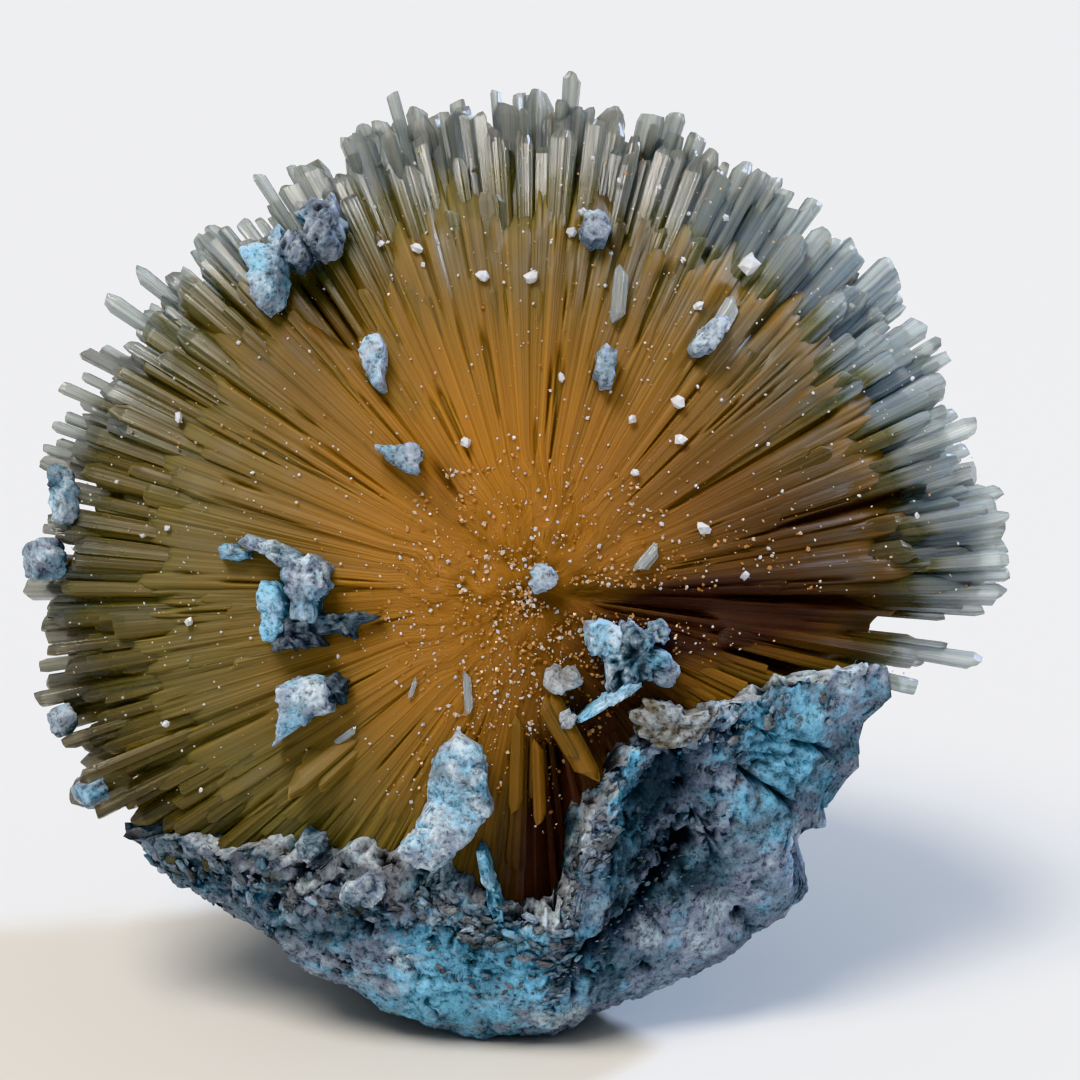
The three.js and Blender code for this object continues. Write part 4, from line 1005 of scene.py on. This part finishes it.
def dryClay():
    # fine silty clay, dried and crumbled: dead matt, bluish grey with lavender and turquoise films, with a
    # painted highlight on its raised tops and painted shade, near black, in its pits
    material, tree = newMaterial("dried blue-grey clay")
    place = addNode(tree, "ShaderNodeTexCoord")["Object"]
    pit, teal, dim, warm = [attributeOf(tree, key) for key in ("pit", "teal", "dim", "warm")]
    # the pit value gives a painted highlight where it is below zero and painted shade where it is above
    clamped = {"operation": "MULTIPLY", "use_clamp": True, 0: pit}
    paintedPeakLight, paintedPitShade = [addNode(tree, "ShaderNodeMath", {**clamped, 1: by})[0] for by in (-0.8, 1.0)]
    film = timesPlus(tree, teal, 0.34, noiseOf(tree, place, 330.0, 4.0, 0.65))
    film = rampOf(tree, film, (0.56, 0.0), (0.78, 0.85))
    colour = rampOf(tree, noiseOf(tree, place, 190.0, 5.0, 0.6),
                    (0.3, "#414f5b"), (0.42, "#6f8696"), (0.54, "#858ea1"), (0.68, "#b0c2cd"))
    # turquoise films, tan silt, a painted highlight on the tops, darker ground (partly painted shade) and
    # painted shade in the pits, one over the other
    layers = [(film, "#7bbfe0"), (warm, "#94815a"), (paintedPeakLight, "#cfdde6"), (dim, "#2a333b"), (paintedPitShade, "#0b0d10")]
    for share, over in layers:
        colour = covered(tree, colour, share, over)
    grain = noiseOf(tree, place, 1500.0, 4.0, 0.8)
    # the clay's own fine speckle, darker in the low spots and lighter on the high ones of the same noise as
    # the bump: also painted shade and highlight at that scale
    colour = shaded(tree, colour, rampOf(tree, grain, (0.36, 0.28), (0.47, 0.92), (0.64, 1.35)))
    relief = addNode(tree, "ShaderNodeBump", {"Strength": 0.8, "Distance": 0.00035, "Height": grain})[0]
    shader = addNode(tree, "ShaderNodeBsdfPrincipled", {
        "Base Color": colour, "Normal": relief, "Roughness": 0.93, "IOR": 1.45})[0]
    addNode(tree, "ShaderNodeOutputMaterial", {"Surface": shader})
    return material


def crackDepth(way, p):
    # how far each crack cuts in: a groove along the great circle between its ends
    depth = 0.0
    wander = fractalNoise(p, 3.0, 3, 21) * 1.3
    for turnA, dropA, turnB, dropB, wide, deep in cup["cracks"]:
        a, b = below(turnA, dropA), below(turnB, dropB)
        off = (way @ unit(np.cross(a, b))) * cup["crackRound"] + wander
        along = angleBetween(way, unit(a + b)) / (angleBetween(a, b) / 2)
        depth = depth + deep * np.exp(-((off / (wide / 2)) ** 2)) * (1 - smooth((along - 0.85) / 0.35))
    return depth


def patch(t, drop, turn, at, wide, tall):
    # 1 at a place on the cup, falling off over so many degrees of turn and of drop
    return bell(roundFrom(t, turn) / wide, (drop - at) / tall)


def cupTurns():
    # the columns' compass turns, closer together on the showy side: the running sum of how close they
    # stand, read backwards
    fine = np.linspace(0, 360, 721)
    close = 1 + 2.2 * (smooth((fine - 185) / 15) - smooth((fine - 345) / 12))
    run = np.concatenate([[0], np.cumsum((close[1:] + close[:-1]) / 2)])
    return np.interp(np.arange(cup["columns"]) / cup["columns"] * run[-1], run, fine)


def buildCup():
    # a closed grid over the turn and the way up: out along the outer face, over the rim, back inside;
    # the radius with the clay's relief on it, less the cracks
    columns, rows, inner = cup["columns"], cup["rows"], cup["inner"]
    turn = cupTurns()
    t, s = np.meshgrid(turn, np.linspace(0.01, 1.0, rows))
    rimWay = below(t, cupAt(t, "drop"))
    edge = focus + rimWay * ellipsoidAt(rimWay)[..., None]
    ragged = 2.6 * fractalNoise(edge, 6, 3, 11) + 1.6 * fractalNoise(edge, 1.5, 2, 12)
    drop = (cupAt(t, "drop") + ragged * smooth(s * 2)) * s
    way = below(t, drop)
    radius = cupRadius(t, drop, s)
    p = focus + way * radius[..., None]
    wall, slab, foot, shoulder = [patch(t, drop, *cup[key]) for key in ("wall", "slab", "foot", "shoulder")]
    ledge = smooth((s - 0.72) / 0.15) * patch(t, drop, *cup["ledge"])
    plain = np.clip(foot + slab + shoulder, 0, 1)
    crumbly = np.clip(0.6 + wall + ledge - 0.4 * plain, 0.3, 1.3)
    pitted = np.clip(0.6 + wall + 0.8 * ledge - 0.6 * plain, 0, 1)
    height, pit = clayRelief(p, crumbly, pitted)
    level = np.mod((1 - s) * cupAt(t, "drop") / cup["layer"] + fractalNoise(p, 4, 2, 61) * 0.5, 1)
    height = height + ledge * 1.5 * (level - 0.5) + 1.1 * fractalNoise(p, 11, 2, 63)
    # a dark line at each of the ledge's layers: painted shade at their steps
    pit = np.clip(pit + ledge * smooth((level - 0.86) / 0.1) * 0.8, 0, 1)
    cut = crackDepth(way, p)
    # and the cracks darker by their depth: painted shade
    pit = np.clip(pit * smooth(s * 4) + smooth((cut - 0.7) / 1.2), -1, 1)
    radius = radius + (height - 0.2) * smooth(s * 3) - cut
    outer = focus + way * radius[..., None]
    outer[..., 2] = np.maximum(outer[..., 2], 0.0)
    # the rim's top, from its edge inwards to just inside the tips, then the inner face down to the pole
    steps = np.linspace(0, 1, inner["steps"] + 1)[1:, None]
    topWay = below(turn[None] + 0 * steps, drop[-1] - inner["lower"] * steps ** 1.5)
    reach = radius[-1] + (reachTo(topWay) * inner["share"] - radius[-1]) * steps
    top = focus + topWay * reach[..., None]
    bump, topPit = clayRelief(top, np.full(reach.shape, 1.2), np.full(reach.shape, 0.8))
    # the relief stands up, and sideways where the rim itself climbs steeply
    climb = smooth((np.abs(cupAt(turn + 1, "drop") - cupAt(turn - 1, "drop")) / 2 - 0.5) / 0.8)[:, None]
    sideways = np.stack([-np.sin(np.radians(turn)), np.cos(np.radians(turn)), 0 * turn], -1) * climb
    swell = (bump * np.sin(np.pi * np.minimum(1, steps + 0.2)))[..., None]
    top = top + (np.array([0, 0, 0.9]) + sideways) * swell
    down = np.linspace(1, 0.02, inner["down"] + 1)[1:, None]
    liningWay = below(turn[None] + 0 * down, (drop[-1] - inner["lower"]) * down)
    lining = focus + liningWay * (reachTo(liningWay) * inner["share"])[..., None]
    top = np.concatenate([top, lining])
    topPit = np.concatenate([topPit, np.zeros((inner["down"], columns))])
    teal = 0.5 * plain - 0.9 * slab
    for strength, *place in cup["films"]:
        teal = teal + strength * patch(t, drop, *place)
    # darker patches: the wall, a hollow under the crest, in darker clay and painted shade; the slab below it,
    # and broken ground all over
    spots = smooth(fractalNoise(p, 6, 4, 66) / 0.3 + 0.45)
    dim = 0.95 * wall * (1 - smooth((s - 0.88) / 0.08)) + (0.25 + 0.6 * slab) * spots
    dim = dim + 0.4 * ledge * smooth((fractalNoise(p, 5, 2, 64) + 0.1) / 0.3)
    warm = 0.25 * ledge * smooth((s - 0.85) / 0.1)
    evenTop = np.ones(topPit.shape)
    values = {"pit": (pit, topPit), "teal": (np.clip(teal, 0, 1), 0.2 * evenTop),
              "dim": (np.clip(dim, 0, 0.92), 0.15 * evenTop), "warm": (warm, 0.3 * evenTop)}
    values = {key: np.concatenate(both).reshape(-1) for key, both in values.items()}
    points = np.concatenate([outer, top]).reshape(-1, 3)
    loops, sizes = closedGrid(rows + inner["steps"] + inner["down"], columns)
    return meshPiece("clay_matrix", points, loops, sizes, values, True)


def outlineReach(flat, ray):
    # how far a star-shaped outline lies out along each ray: the farthest crossing with any of its edges
    a, b = flat, np.roll(flat, -1, 0)
    edge = b - a
    cross = ray[:, None, 0] * edge[None, :, 1] - ray[:, None, 1] * edge[None, :, 0]
    cross = np.where(np.abs(cross) < 1e-9, 1e-9, cross)
    far = (a[None, :, 0] * edge[None, :, 1] - a[None, :, 1] * edge[None, :, 0]) / cross
    along = (a[None, :, 0] * ray[:, None, 1] - a[None, :, 1] * ray[:, None, 0]) / cross
    hit = (along >= -1e-6) & (along <= 1 + 1e-6) & (far > 0)
    reach = np.where(hit, far, 0).max(1)
    return np.where(reach > 0, reach, np.linalg.norm(flat, axis=1).min())


def lumpArrays(axes, middle, outline, thick, stand, look, seed):
    # a closed grid round a lump: its outline, star-shaped about its middle, drawn in to nothing over its
    # top and bottom by a rounded edge, with the clay's relief all over
    ring = onPlane(axes, middle, outline, stand)
    centre = ring.mean(0)
    flat = (ring - centre) @ axes[:2].T
    columns = int(np.clip(np.linalg.norm(np.roll(flat, 1, 0) - flat, axis=1).sum() / 0.26, 40, 150))
    rows = int(columns * 0.42)
    turn = np.arange(columns) * 2 * np.pi / columns
    ray = np.stack([np.cos(turn), np.sin(turn)], -1)
    reach = outlineReach(flat, ray)
    # broken edges: the outline is chipped, the top and bottom are flat, and the sides are steep
    lean = np.linspace(0.02, np.pi - 0.02, rows)[:, None]
    out = np.sin(lean) ** 0.4
    brim = np.stack([ray[:, 0] * reach, ray[:, 1] * reach, 0 * reach], -1) + np.array([0, 0, seed * 7.3])
    rough = 1 + look[2]
    reach = reach * (1 + 0.11 * rough * fractalNoise(brim, 1.1, 3, 83))
    reach = reach + 0.25 * rough * fractalNoise(brim, 0.6, 2, 84)
    # its underside reaches down to the crystals that it lies on
    spot = (centre - focus) @ ballAxes.T
    reachDown = (spot[1] - faceAt(spot)) / (towards @ axes[2]) + 0.7
    low = np.clip(reachDown, thick / 2, thick / 2 + 4) if outShare(spot) < 0.88 else thick / 2
    tall = np.sign(np.cos(lean)) * np.abs(np.cos(lean)) ** 0.5 * np.where(np.cos(lean) > 0, thick / 2, low)
    x = out * reach * ray[:, 0]
    y = out * reach * ray[:, 1]
    z = tall + 0.12 * x * np.sign(np.sin(seed * 2.4)) + 0.1 * y
    facingOut = unit(np.stack([ray[:, 0] * out ** 3, ray[:, 1] * out ** 3, np.cos(lean) + 0 * x], -1))
    world = centre + np.stack([x, y, z], -1) @ axes
    teal, dim, pitted, warm = (*look, 0.0)[:4]
    even = np.ones(x.shape)
    stretched = world * 1.7 + seed * 3.1
    height, pit = clayRelief(stretched, (0.3 + 0.8 * pitted) * even, (0.1 + 0.9 * pitted) * even)
    _, _, facet = cellNoise(stretched + noiseVector(stretched, 2, 2, (85, 86, 87)), 3.2, 88)
    world = world + (facingOut @ axes) * (height * 0.4 + 0.45 * (facet - 0.5))[..., None]
    # painted shade in the pits, weaker on the less pitted lumps, which are also drawn paler all over
    pit = np.where(pit > 0, pit * (0.35 + 0.65 * pitted), pit) - 0.25 * (1 - pitted)
    values = {"pit": pit, "teal": teal * even, "dim": dim * even, "warm": warm * even}
    loops, sizes = closedGrid(rows, columns)
    # the first row is the top's middle, so the corners are turned round to face outwards
    return world.reshape(-1, 3), loops[::-1], sizes[::-1], {key: v.reshape(-1) for key, v in values.items()}


def joinedArrays(parts):
    # several meshes' points, corners, face sizes and values as one
    points, loops, sizes, values = zip(*parts)
    shift = np.concatenate([[0], np.cumsum([len(p) for p in points])[:-1]])
    loops = np.concatenate([corners + first for corners, first in zip(loops, shift)])
    return np.concatenate(points), loops, np.concatenate(sizes), joined(values)


def stoneArrays(middle, size, seed, rows, columns, blunt=0.25, flat=1.0, outwards=None):
    # many little stones: each a closed grid round its middle, stretched and dented at random, or flakes
    # that lie across the way outwards
    i = np.arange(len(middle))
    lean = np.linspace(blunt, np.pi - blunt, rows)[:, None]
    turn = (np.arange(columns) * 2 * np.pi / columns)[None]
    globe = np.stack([np.sin(lean) * np.cos(turn), np.sin(lean) * np.sin(turn), -np.cos(lean) + 0 * turn], -1)
    third = unit(scatterVector(i, (seed + 1, seed + 2, seed + 3)) - 0.5)
    if outwards is not None:
        third = unit(outwards + 0.55 * third)
    axis = unit(np.cross(third, np.roll(third, 1, -1) + 0.01))
    cross = np.cross(third, axis)
    dented = 1 + 0.5 * (scatter(i[:, None] * 77.7 + np.arange(rows * columns), seed + 4) - 0.5)
    stretch = (0.7 + 0.6 * scatterVector(i, (seed + 5, seed + 6, seed + 7))) * (1, 1, flat)
    local = globe.reshape(-1, 3)[None] * dented[..., None] * stretch[:, None] * size[:, None, None] / 2
    world = middle[:, None] + local[..., :1] * axis[:, None] + local[..., 1:2] * cross[:, None]
    world = world + local[..., 2:] * third[:, None]
    loops, sizes = manyGrids(len(i), rows, columns)
    return world.reshape(-1, 3), loops, sizes, np.repeat(scatter(i, seed + 8), rows * columns)


crumbs = {
    # loose flakes on the rim and the ledges of the cup: compass turns from and to, how many, where they
    # lie as shares of the rim's drop, sizes in millimetres and how dull the dullest are
    "places": [
        (190, 292, 460, (0.86, 0.99), (0.4, 2.4), 0.55), (190, 292, 420, (0.66, 0.97), (0.25, 1.2), 0.55),
        (288, 336, 240, (0.9, 1.0), (0.3, 1.6), 0.6), (288, 320, 460, (0.5, 0.97), (0.2, 0.9), 1.0),
        (276, 291, 260, (0.8, 1.0), (0.3, 1.3), 0.7), (20, 185, 500, (0.8, 0.98), (0.4, 2.0), 0.55),
    ],
    "form": {"rows": 4, "columns": 6, "flat": 0.4, "blunt": 0.7},
}


def buildCrumbs():
    # each lies on the cup's outer face, a little sunk, and deeper in at the rim
    parts = []
    for n, (turnA, turnB, count, shareAt, sizeAt, dull) in enumerate(crumbs["places"]):
        i = np.arange(count)
        turn = between((turnA, turnB), scatter(i, 200 + n))
        share = between(shareAt, scatter(i, 210 + n))
        drop = cupAt(turn, "drop") * share
        size = between(sizeAt, scatter(i, 220 + n) ** 2)
        way = below(turn, drop)
        radius = cupRadius(turn, drop, share) - 0.35 - 1.2 * scatter(i, 230 + n) * (share > 0.95)
        middle = focus + way * radius[:, None]
        middle[:, 2] = np.maximum(middle[:, 2], 0.8 * size)
        *stones, look = stoneArrays(middle, size, 240 + 10 * n, outwards=way, **crumbs["form"])
        parts.append((*stones, {
            "pit": 0.9 * (look - 0.75 + 0.45 * dull), "teal": 0.25 * scatter(7 * look, 3),
            "dim": dull * scatter(9 * look, 2) ** 0.7, "warm": 0.32 * (look > 0.55)}))
    return meshPiece("clay_crumbs", *joinedArrays(parts))


clay = dryClay()
finish(buildCup(), clay, "clay", "clay_cup")
finish(buildCrumbs(), clay, "clay")
print("clay cup built")
# three lumps of the crust that stand proud of it: one in the cavity and two on the ledge
bits = [
    ((-98, 64.5, 31), [(-1.3, 3.0), (-0.3, 3.4), (0.2, 0.8), (1.0, -1.8), (1.4, -3.9), (0.3, -3.8),
     (-0.6, -0.8)], 1.3, 0.0, (0.8, 0.25, 0.6)),
    ((-119, 68.9, 34.6), [(-2.2, 0.2), (-1.2, 1.5), (0.6, 1.9), (1.9, 1.1), (1.6, -0.6), (0.2, -1.5),
     (-1.6, -1.3)], 2.6, 0.2, (0.0, 0.15, 0.5)),
    ((-131, 69, 34.4), [(-1.6, 0.4), (-0.6, 1.2), (0.9, 1.0), (1.5, 0.0), (0.6, -1.0), (-1.0, -0.9)],
     2.0, 0.2, (0.1, 0.3, 0.7)),
]
parts = [lumpArrays(*placeAt(*place), *lump, 200 + k) for k, (place, *lump) in enumerate(bits)]
finish(meshPiece("clay_bits", *joinedArrays(parts), True), clay, "clay")
for number, (name, (place, lumps)) in enumerate(scraps.items()):
    parts = [lumpArrays(*placeAt(*place), *lump, number * 7 + k) for k, lump in enumerate(lumps)]
    piece = meshPiece(name.replace("clay_", "dry_"), *joinedArrays(parts), True)
    finish(piece, clay, "clay", name)
print("scraps built")

dust = {
    # how many, their share of the way out to the rim, the clock from and to, their sizes, how much they
    # stand off and how orange they are
    "layers": [
        (150, (0.1, 0.95), (0, 360), (0.2, 0.6), 0.3, (0.0, 0.45)),
        (1700, (0.0, 1.0), (0, 360), (0.12, 0.3), 0.3, (0.0, 1.0)),
        (1500, (0.0, 0.32), (0, 360), (0.16, 0.5), 0.1, (0.35, 1.0)),
        (1000, (0.08, 0.6), (-125, 20), (0.16, 0.5), 0.1, (0.4, 1.0)),
    ],
    "spread": (46, 44),  # how far it lies across and up
    # pale chips put where the crystals' ends catch the light, painted glints: how far they stand off, right
    # and up of the focus and how large
    "glintStand": 0.5,
    "glintChips": [
        (-4.7, 30.2, 1.1), (0, 30.1, 1.2), (13.9, 18, 1.3), (14.1, 14.5, 1.3), (16.3, 6.1, 1.4),
        (20.2, 1.6, 0.9), (9.5, 16.4, 1.1), (9.8, 11.3, 0.8), (-14.5, 33.5, 0.8), (-11, 33.0, 1.0),
        (-34, 16.8, 0.9), (-32.8, -2.8, 1.0), (21.0, 31.5, 1.6), (3.8, 34.5, 1.4), (5.0, 36.5, 1.2),
        (-35.2, -12.7, 0.8), (2.8, 20.4, 0.9), (-6.2, 14.2, 1.3), (18.3, 25.5, 1.3), (16.0, 27.4, 0.9),
    ],
}


def gritAndGlints():
    # dust of the same crystal, white and orange, whose white grains also stand for fine sparkle, a painted
    # glint, and pale chips that are painted glints; cloudy white with a glassy skin, so they catch the light
    material, tree = newMaterial("white crystal grit and glints")
    tint = rampOf(tree, attributeOf(tree, "tone"),
                  (0.0, "#e8e9ec"), (0.45, "#d9dce2"), (0.62, "#d8b184"), (1.0, "#b97f42"))
    shader = addNode(tree, "ShaderNodeBsdfPrincipled", {
        "Base Color": tint, "Roughness": 0.18, "IOR": 1.53, "Transmission Weight": 0.25})[0]
    addNode(tree, "ShaderNodeOutputMaterial", {"Surface": shader})
    return material


def buildDust():
    # grains at random clocks, evenly over the whole face where they reach its rim, and the pale chips
    # that are painted glints, all on the height of the face
    parts = []
    for n, (count, outAt, clockAt, sizeAt, stand, hueAt) in enumerate(dust["layers"]):
        i = np.arange(count)
        out = between(outAt, scatter(i, 300 + n)) ** (0.5 if outAt[1] > 0.9 else 1)
        clock = np.radians(between(clockAt, scatter(i, 310 + n)))
        x, z = out * np.cos(clock) * dust["spread"][0], out * np.sin(clock) * dust["spread"][1]
        size = between(sizeAt, scatter(i, 320 + n) ** 2)
        local = np.stack([x, 0 * x, z], -1)
        local[:, 1] = faceAt(local) + stand + 0.3 * (scatter(i, 330 + n) - 0.5)
        d = unit(local @ ballAxes)
        use = clearOf(d, -5, 0.4)
        local = local * hollowed(d)[:, None]
        *stones, tone = stoneArrays((focus + local @ ballAxes)[use], size[use], 340 + 10 * n, 3, 5)
        parts.append((*stones, {"tone": between(hueAt, tone)}))
    glintChips = np.array(dust["glintChips"])
    local = np.stack([glintChips[:, 0], 0 * glintChips[:, 0], glintChips[:, 1]], -1)
    local[:, 1] = faceAt(local) + dust["glintStand"]
    *stones, tone = stoneArrays(focus + local @ ballAxes, glintChips[:, 2], 380, 4, 6)
    parts.append((*stones, {"tone": tone * 0.3}))
    return meshPiece("crystal_grit_and_glints", *joinedArrays(parts))


finish(buildDust(), gritAndGlints(), "crystal")
print("dust laid")

# crystals that lie loose or stand up on their own: right and up of the focus, the angle each points to,
# length, width, thickness, how far it stands off the face and how far out its colour belongs
shards = {
    "snapped_amber": [
        (3.6, -13.6, -62, 8.4, 2.2, 1.6, 1.6, 0.5), (2.6, -12.8, -60, 6.2, 1.5, 1.5, 1.9, 0.62),
        (4.5, -14.6, -64, 6.6, 1.5, 1.3, 1.4, 0.58),
    ],
    "clear_slivers": [
        (-6.0, -9.4, 94, 3.8, 0.8, 0.6, 0.5, 0.98), (8.4, 28.4, 84, 5.2, 1.3, 1.1, 0.6, 0.96),
        (11.0, 3.2, 50, 2.6, 1.4, 1.0, 0.6, 0.97), (-17.6, -13.6, 36, 2.4, 0.7, 0.5, 0.4, 0.98),
        (-11.2, -9.0, 70, 1.9, 0.5, 0.4, 0.4, 0.98), (18.6, 26.2, 60, 3.6, 1.8, 1.2, 0.5, 0.98),
        (-1.4, -16.2, 88, 9.0, 1.5, 1.3, -0.1, 0.6), (0.6, -18.0, 92, 8.0, 1.2, 1.1, -0.2, 0.55),
    ],
}
shardForm = {
    "sides": 10,
    # its rings: where along it, how wide and thick as shares, and how slanted
    "rings": [
        (-0.5, 0.6, 0.7, -0.5), (-0.4, 1, 1, -0.3), (0.1, 1, 1, 0), (0.42, 0.95, 1, 0.4),
        (0.5, 0.5, 0.7, 0.6),
    ],
}


def shardArrays(right, up, points, long, wide, thick, stand, outward, seed):
    # a prism along its own way, drawn in and slanted at both ends, lying along the slope of the face
    sides = shardForm["sides"]
    local = np.array([right, 0.0, up])
    local[1] = faceAt(local) + stand
    a = np.radians(points)
    slope = (faceAt(local * 1.1) - faceAt(local * 0.9)) / (0.2 * np.hypot(right, up))
    radial = (np.cos(a) * right + np.sin(a) * up) / np.hypot(right, up)
    along = unit(np.array([np.cos(a), slope * radial, np.sin(a)]))
    side = unit(np.cross(along, [0, 1.0, 0]))
    outwards = np.cross(side, along)
    corner = np.arange(sides) * 2 * np.pi / sides
    wobble = 1 + 0.3 * (scatter(np.arange(sides), seed) - 0.5)
    x, y = np.cos(corner) * wide / 2 * wobble, np.sin(corner) * thick / 2 * wobble
    rings = []
    for at, acrossX, acrossY, slant in shardForm["rings"]:
        run = at * long + slant * x
        ring = local + run[:, None] * along + (x * acrossX)[:, None] * side
        rings.append(ring + (y * acrossY)[:, None] * outwards)
    world = focus + np.concatenate(rings) @ ballAxes
    loops, sizes = closedGrid(len(rings), sides)
    even = np.ones(len(world))
    grain = np.tile(onCircle(a + x / rimRound, y / rimRound + seed), (len(rings), 1))
    look = {"outward": outward * even, "tone": 0.5 * even, "grain": grain,
            "ember": 0.35 * (outward < 0.7) * even, "olive": 0 * even}
    return world, loops, sizes, look


for name, places in shards.items():
    parts = [shardArrays(*place, 500 + 10 * n) for n, place in enumerate(places)]
    piece = meshPiece(name, *joinedArrays(parts))
    finish(piece, amber, "crystal", *(["snapped_crystal"] if name == "snapped_amber" else []))
print("loose crystals laid")

studio = {
    "floor": "#d4d2cd",
    "floorSize": 16.0,
    # name, where it shines from, how many degrees wide it looks, strength and colour: soft boxes so far
    # off that the floor is lit evenly
    "lights": [
        ("key", (-0.30, -0.42, 0.85), 26, 3.1, "#fff6ec"),
        ("rim", (0.62, 0.30, 0.55), 9, 2.9, "#c8dcff"),
    ],
    "world": ("#e3e8ee", 0.57),
    # how far off the camera is in metres, what it aims at right and up of the focus in millimetres
    "distance": 0.255,
    "aim": (0.8, 5.0),
    "lens": {"lens": 85, "sensor_width": 36, "clip_start": 0.01},
}
half = studio["floorSize"] / 2 / millimetre
# a sheet of matt paper, which shows the shadow softly and throws a little light up from below
floorPoints = np.array([[-1, -1, 0], [1, -1, 0], [1, 1, 0], [-1, 1, 0]]) * half
floor = meshPiece("studio_floor", floorPoints, [0, 1, 2, 3], [4])
paper, tree = newMaterial("matt white paper")
sheet = {"Base Color": linear(studio["floor"]), "Roughness": 0.8}
addNode(tree, "ShaderNodeOutputMaterial", {"Surface": addNode(tree, "ShaderNodeBsdfPrincipled", sheet)[0]})
floor.data.materials.append(paper)

for name, place, wide, strength, colour in studio["lights"]:
    light = bpy.data.lights.new(name, "SUN")
    light.angle = np.radians(wide)
    light.energy = strength
    light.color = linear(colour)[:3]
    lamp = bpy.data.objects.new(name, light)
    lamp.rotation_euler = (-Vector(place)).to_track_quat("-Z", "Y").to_euler()
    bpy.context.scene.collection.objects.link(lamp)

room = bpy.data.worlds.new("soft room")
room.use_nodes = True
background = room.node_tree.nodes["Background"]
background.inputs["Color"].default_value = linear(studio["world"][0])
background.inputs["Strength"].default_value = studio["world"][1]
bpy.context.scene.world = room
bpy.context.scene.view_settings.view_transform = "Khronos PBR Neutral"

target = (focus + studio["aim"][0] * rightward + studio["aim"][1] * upward) * millimetre
camera = bpy.data.cameras.new("camera")
for key, value in studio["lens"].items():
    setattr(camera, key, value)
eye = bpy.data.objects.new("camera", camera)
eye.location = Vector(target + towards * studio["distance"])
eye.rotation_euler = (Vector(target) - eye.location).to_track_quat("-Z", "Y").to_euler()
bpy.context.scene.collection.objects.link(eye)
bpy.context.scene.camera = eye
print("studio set")
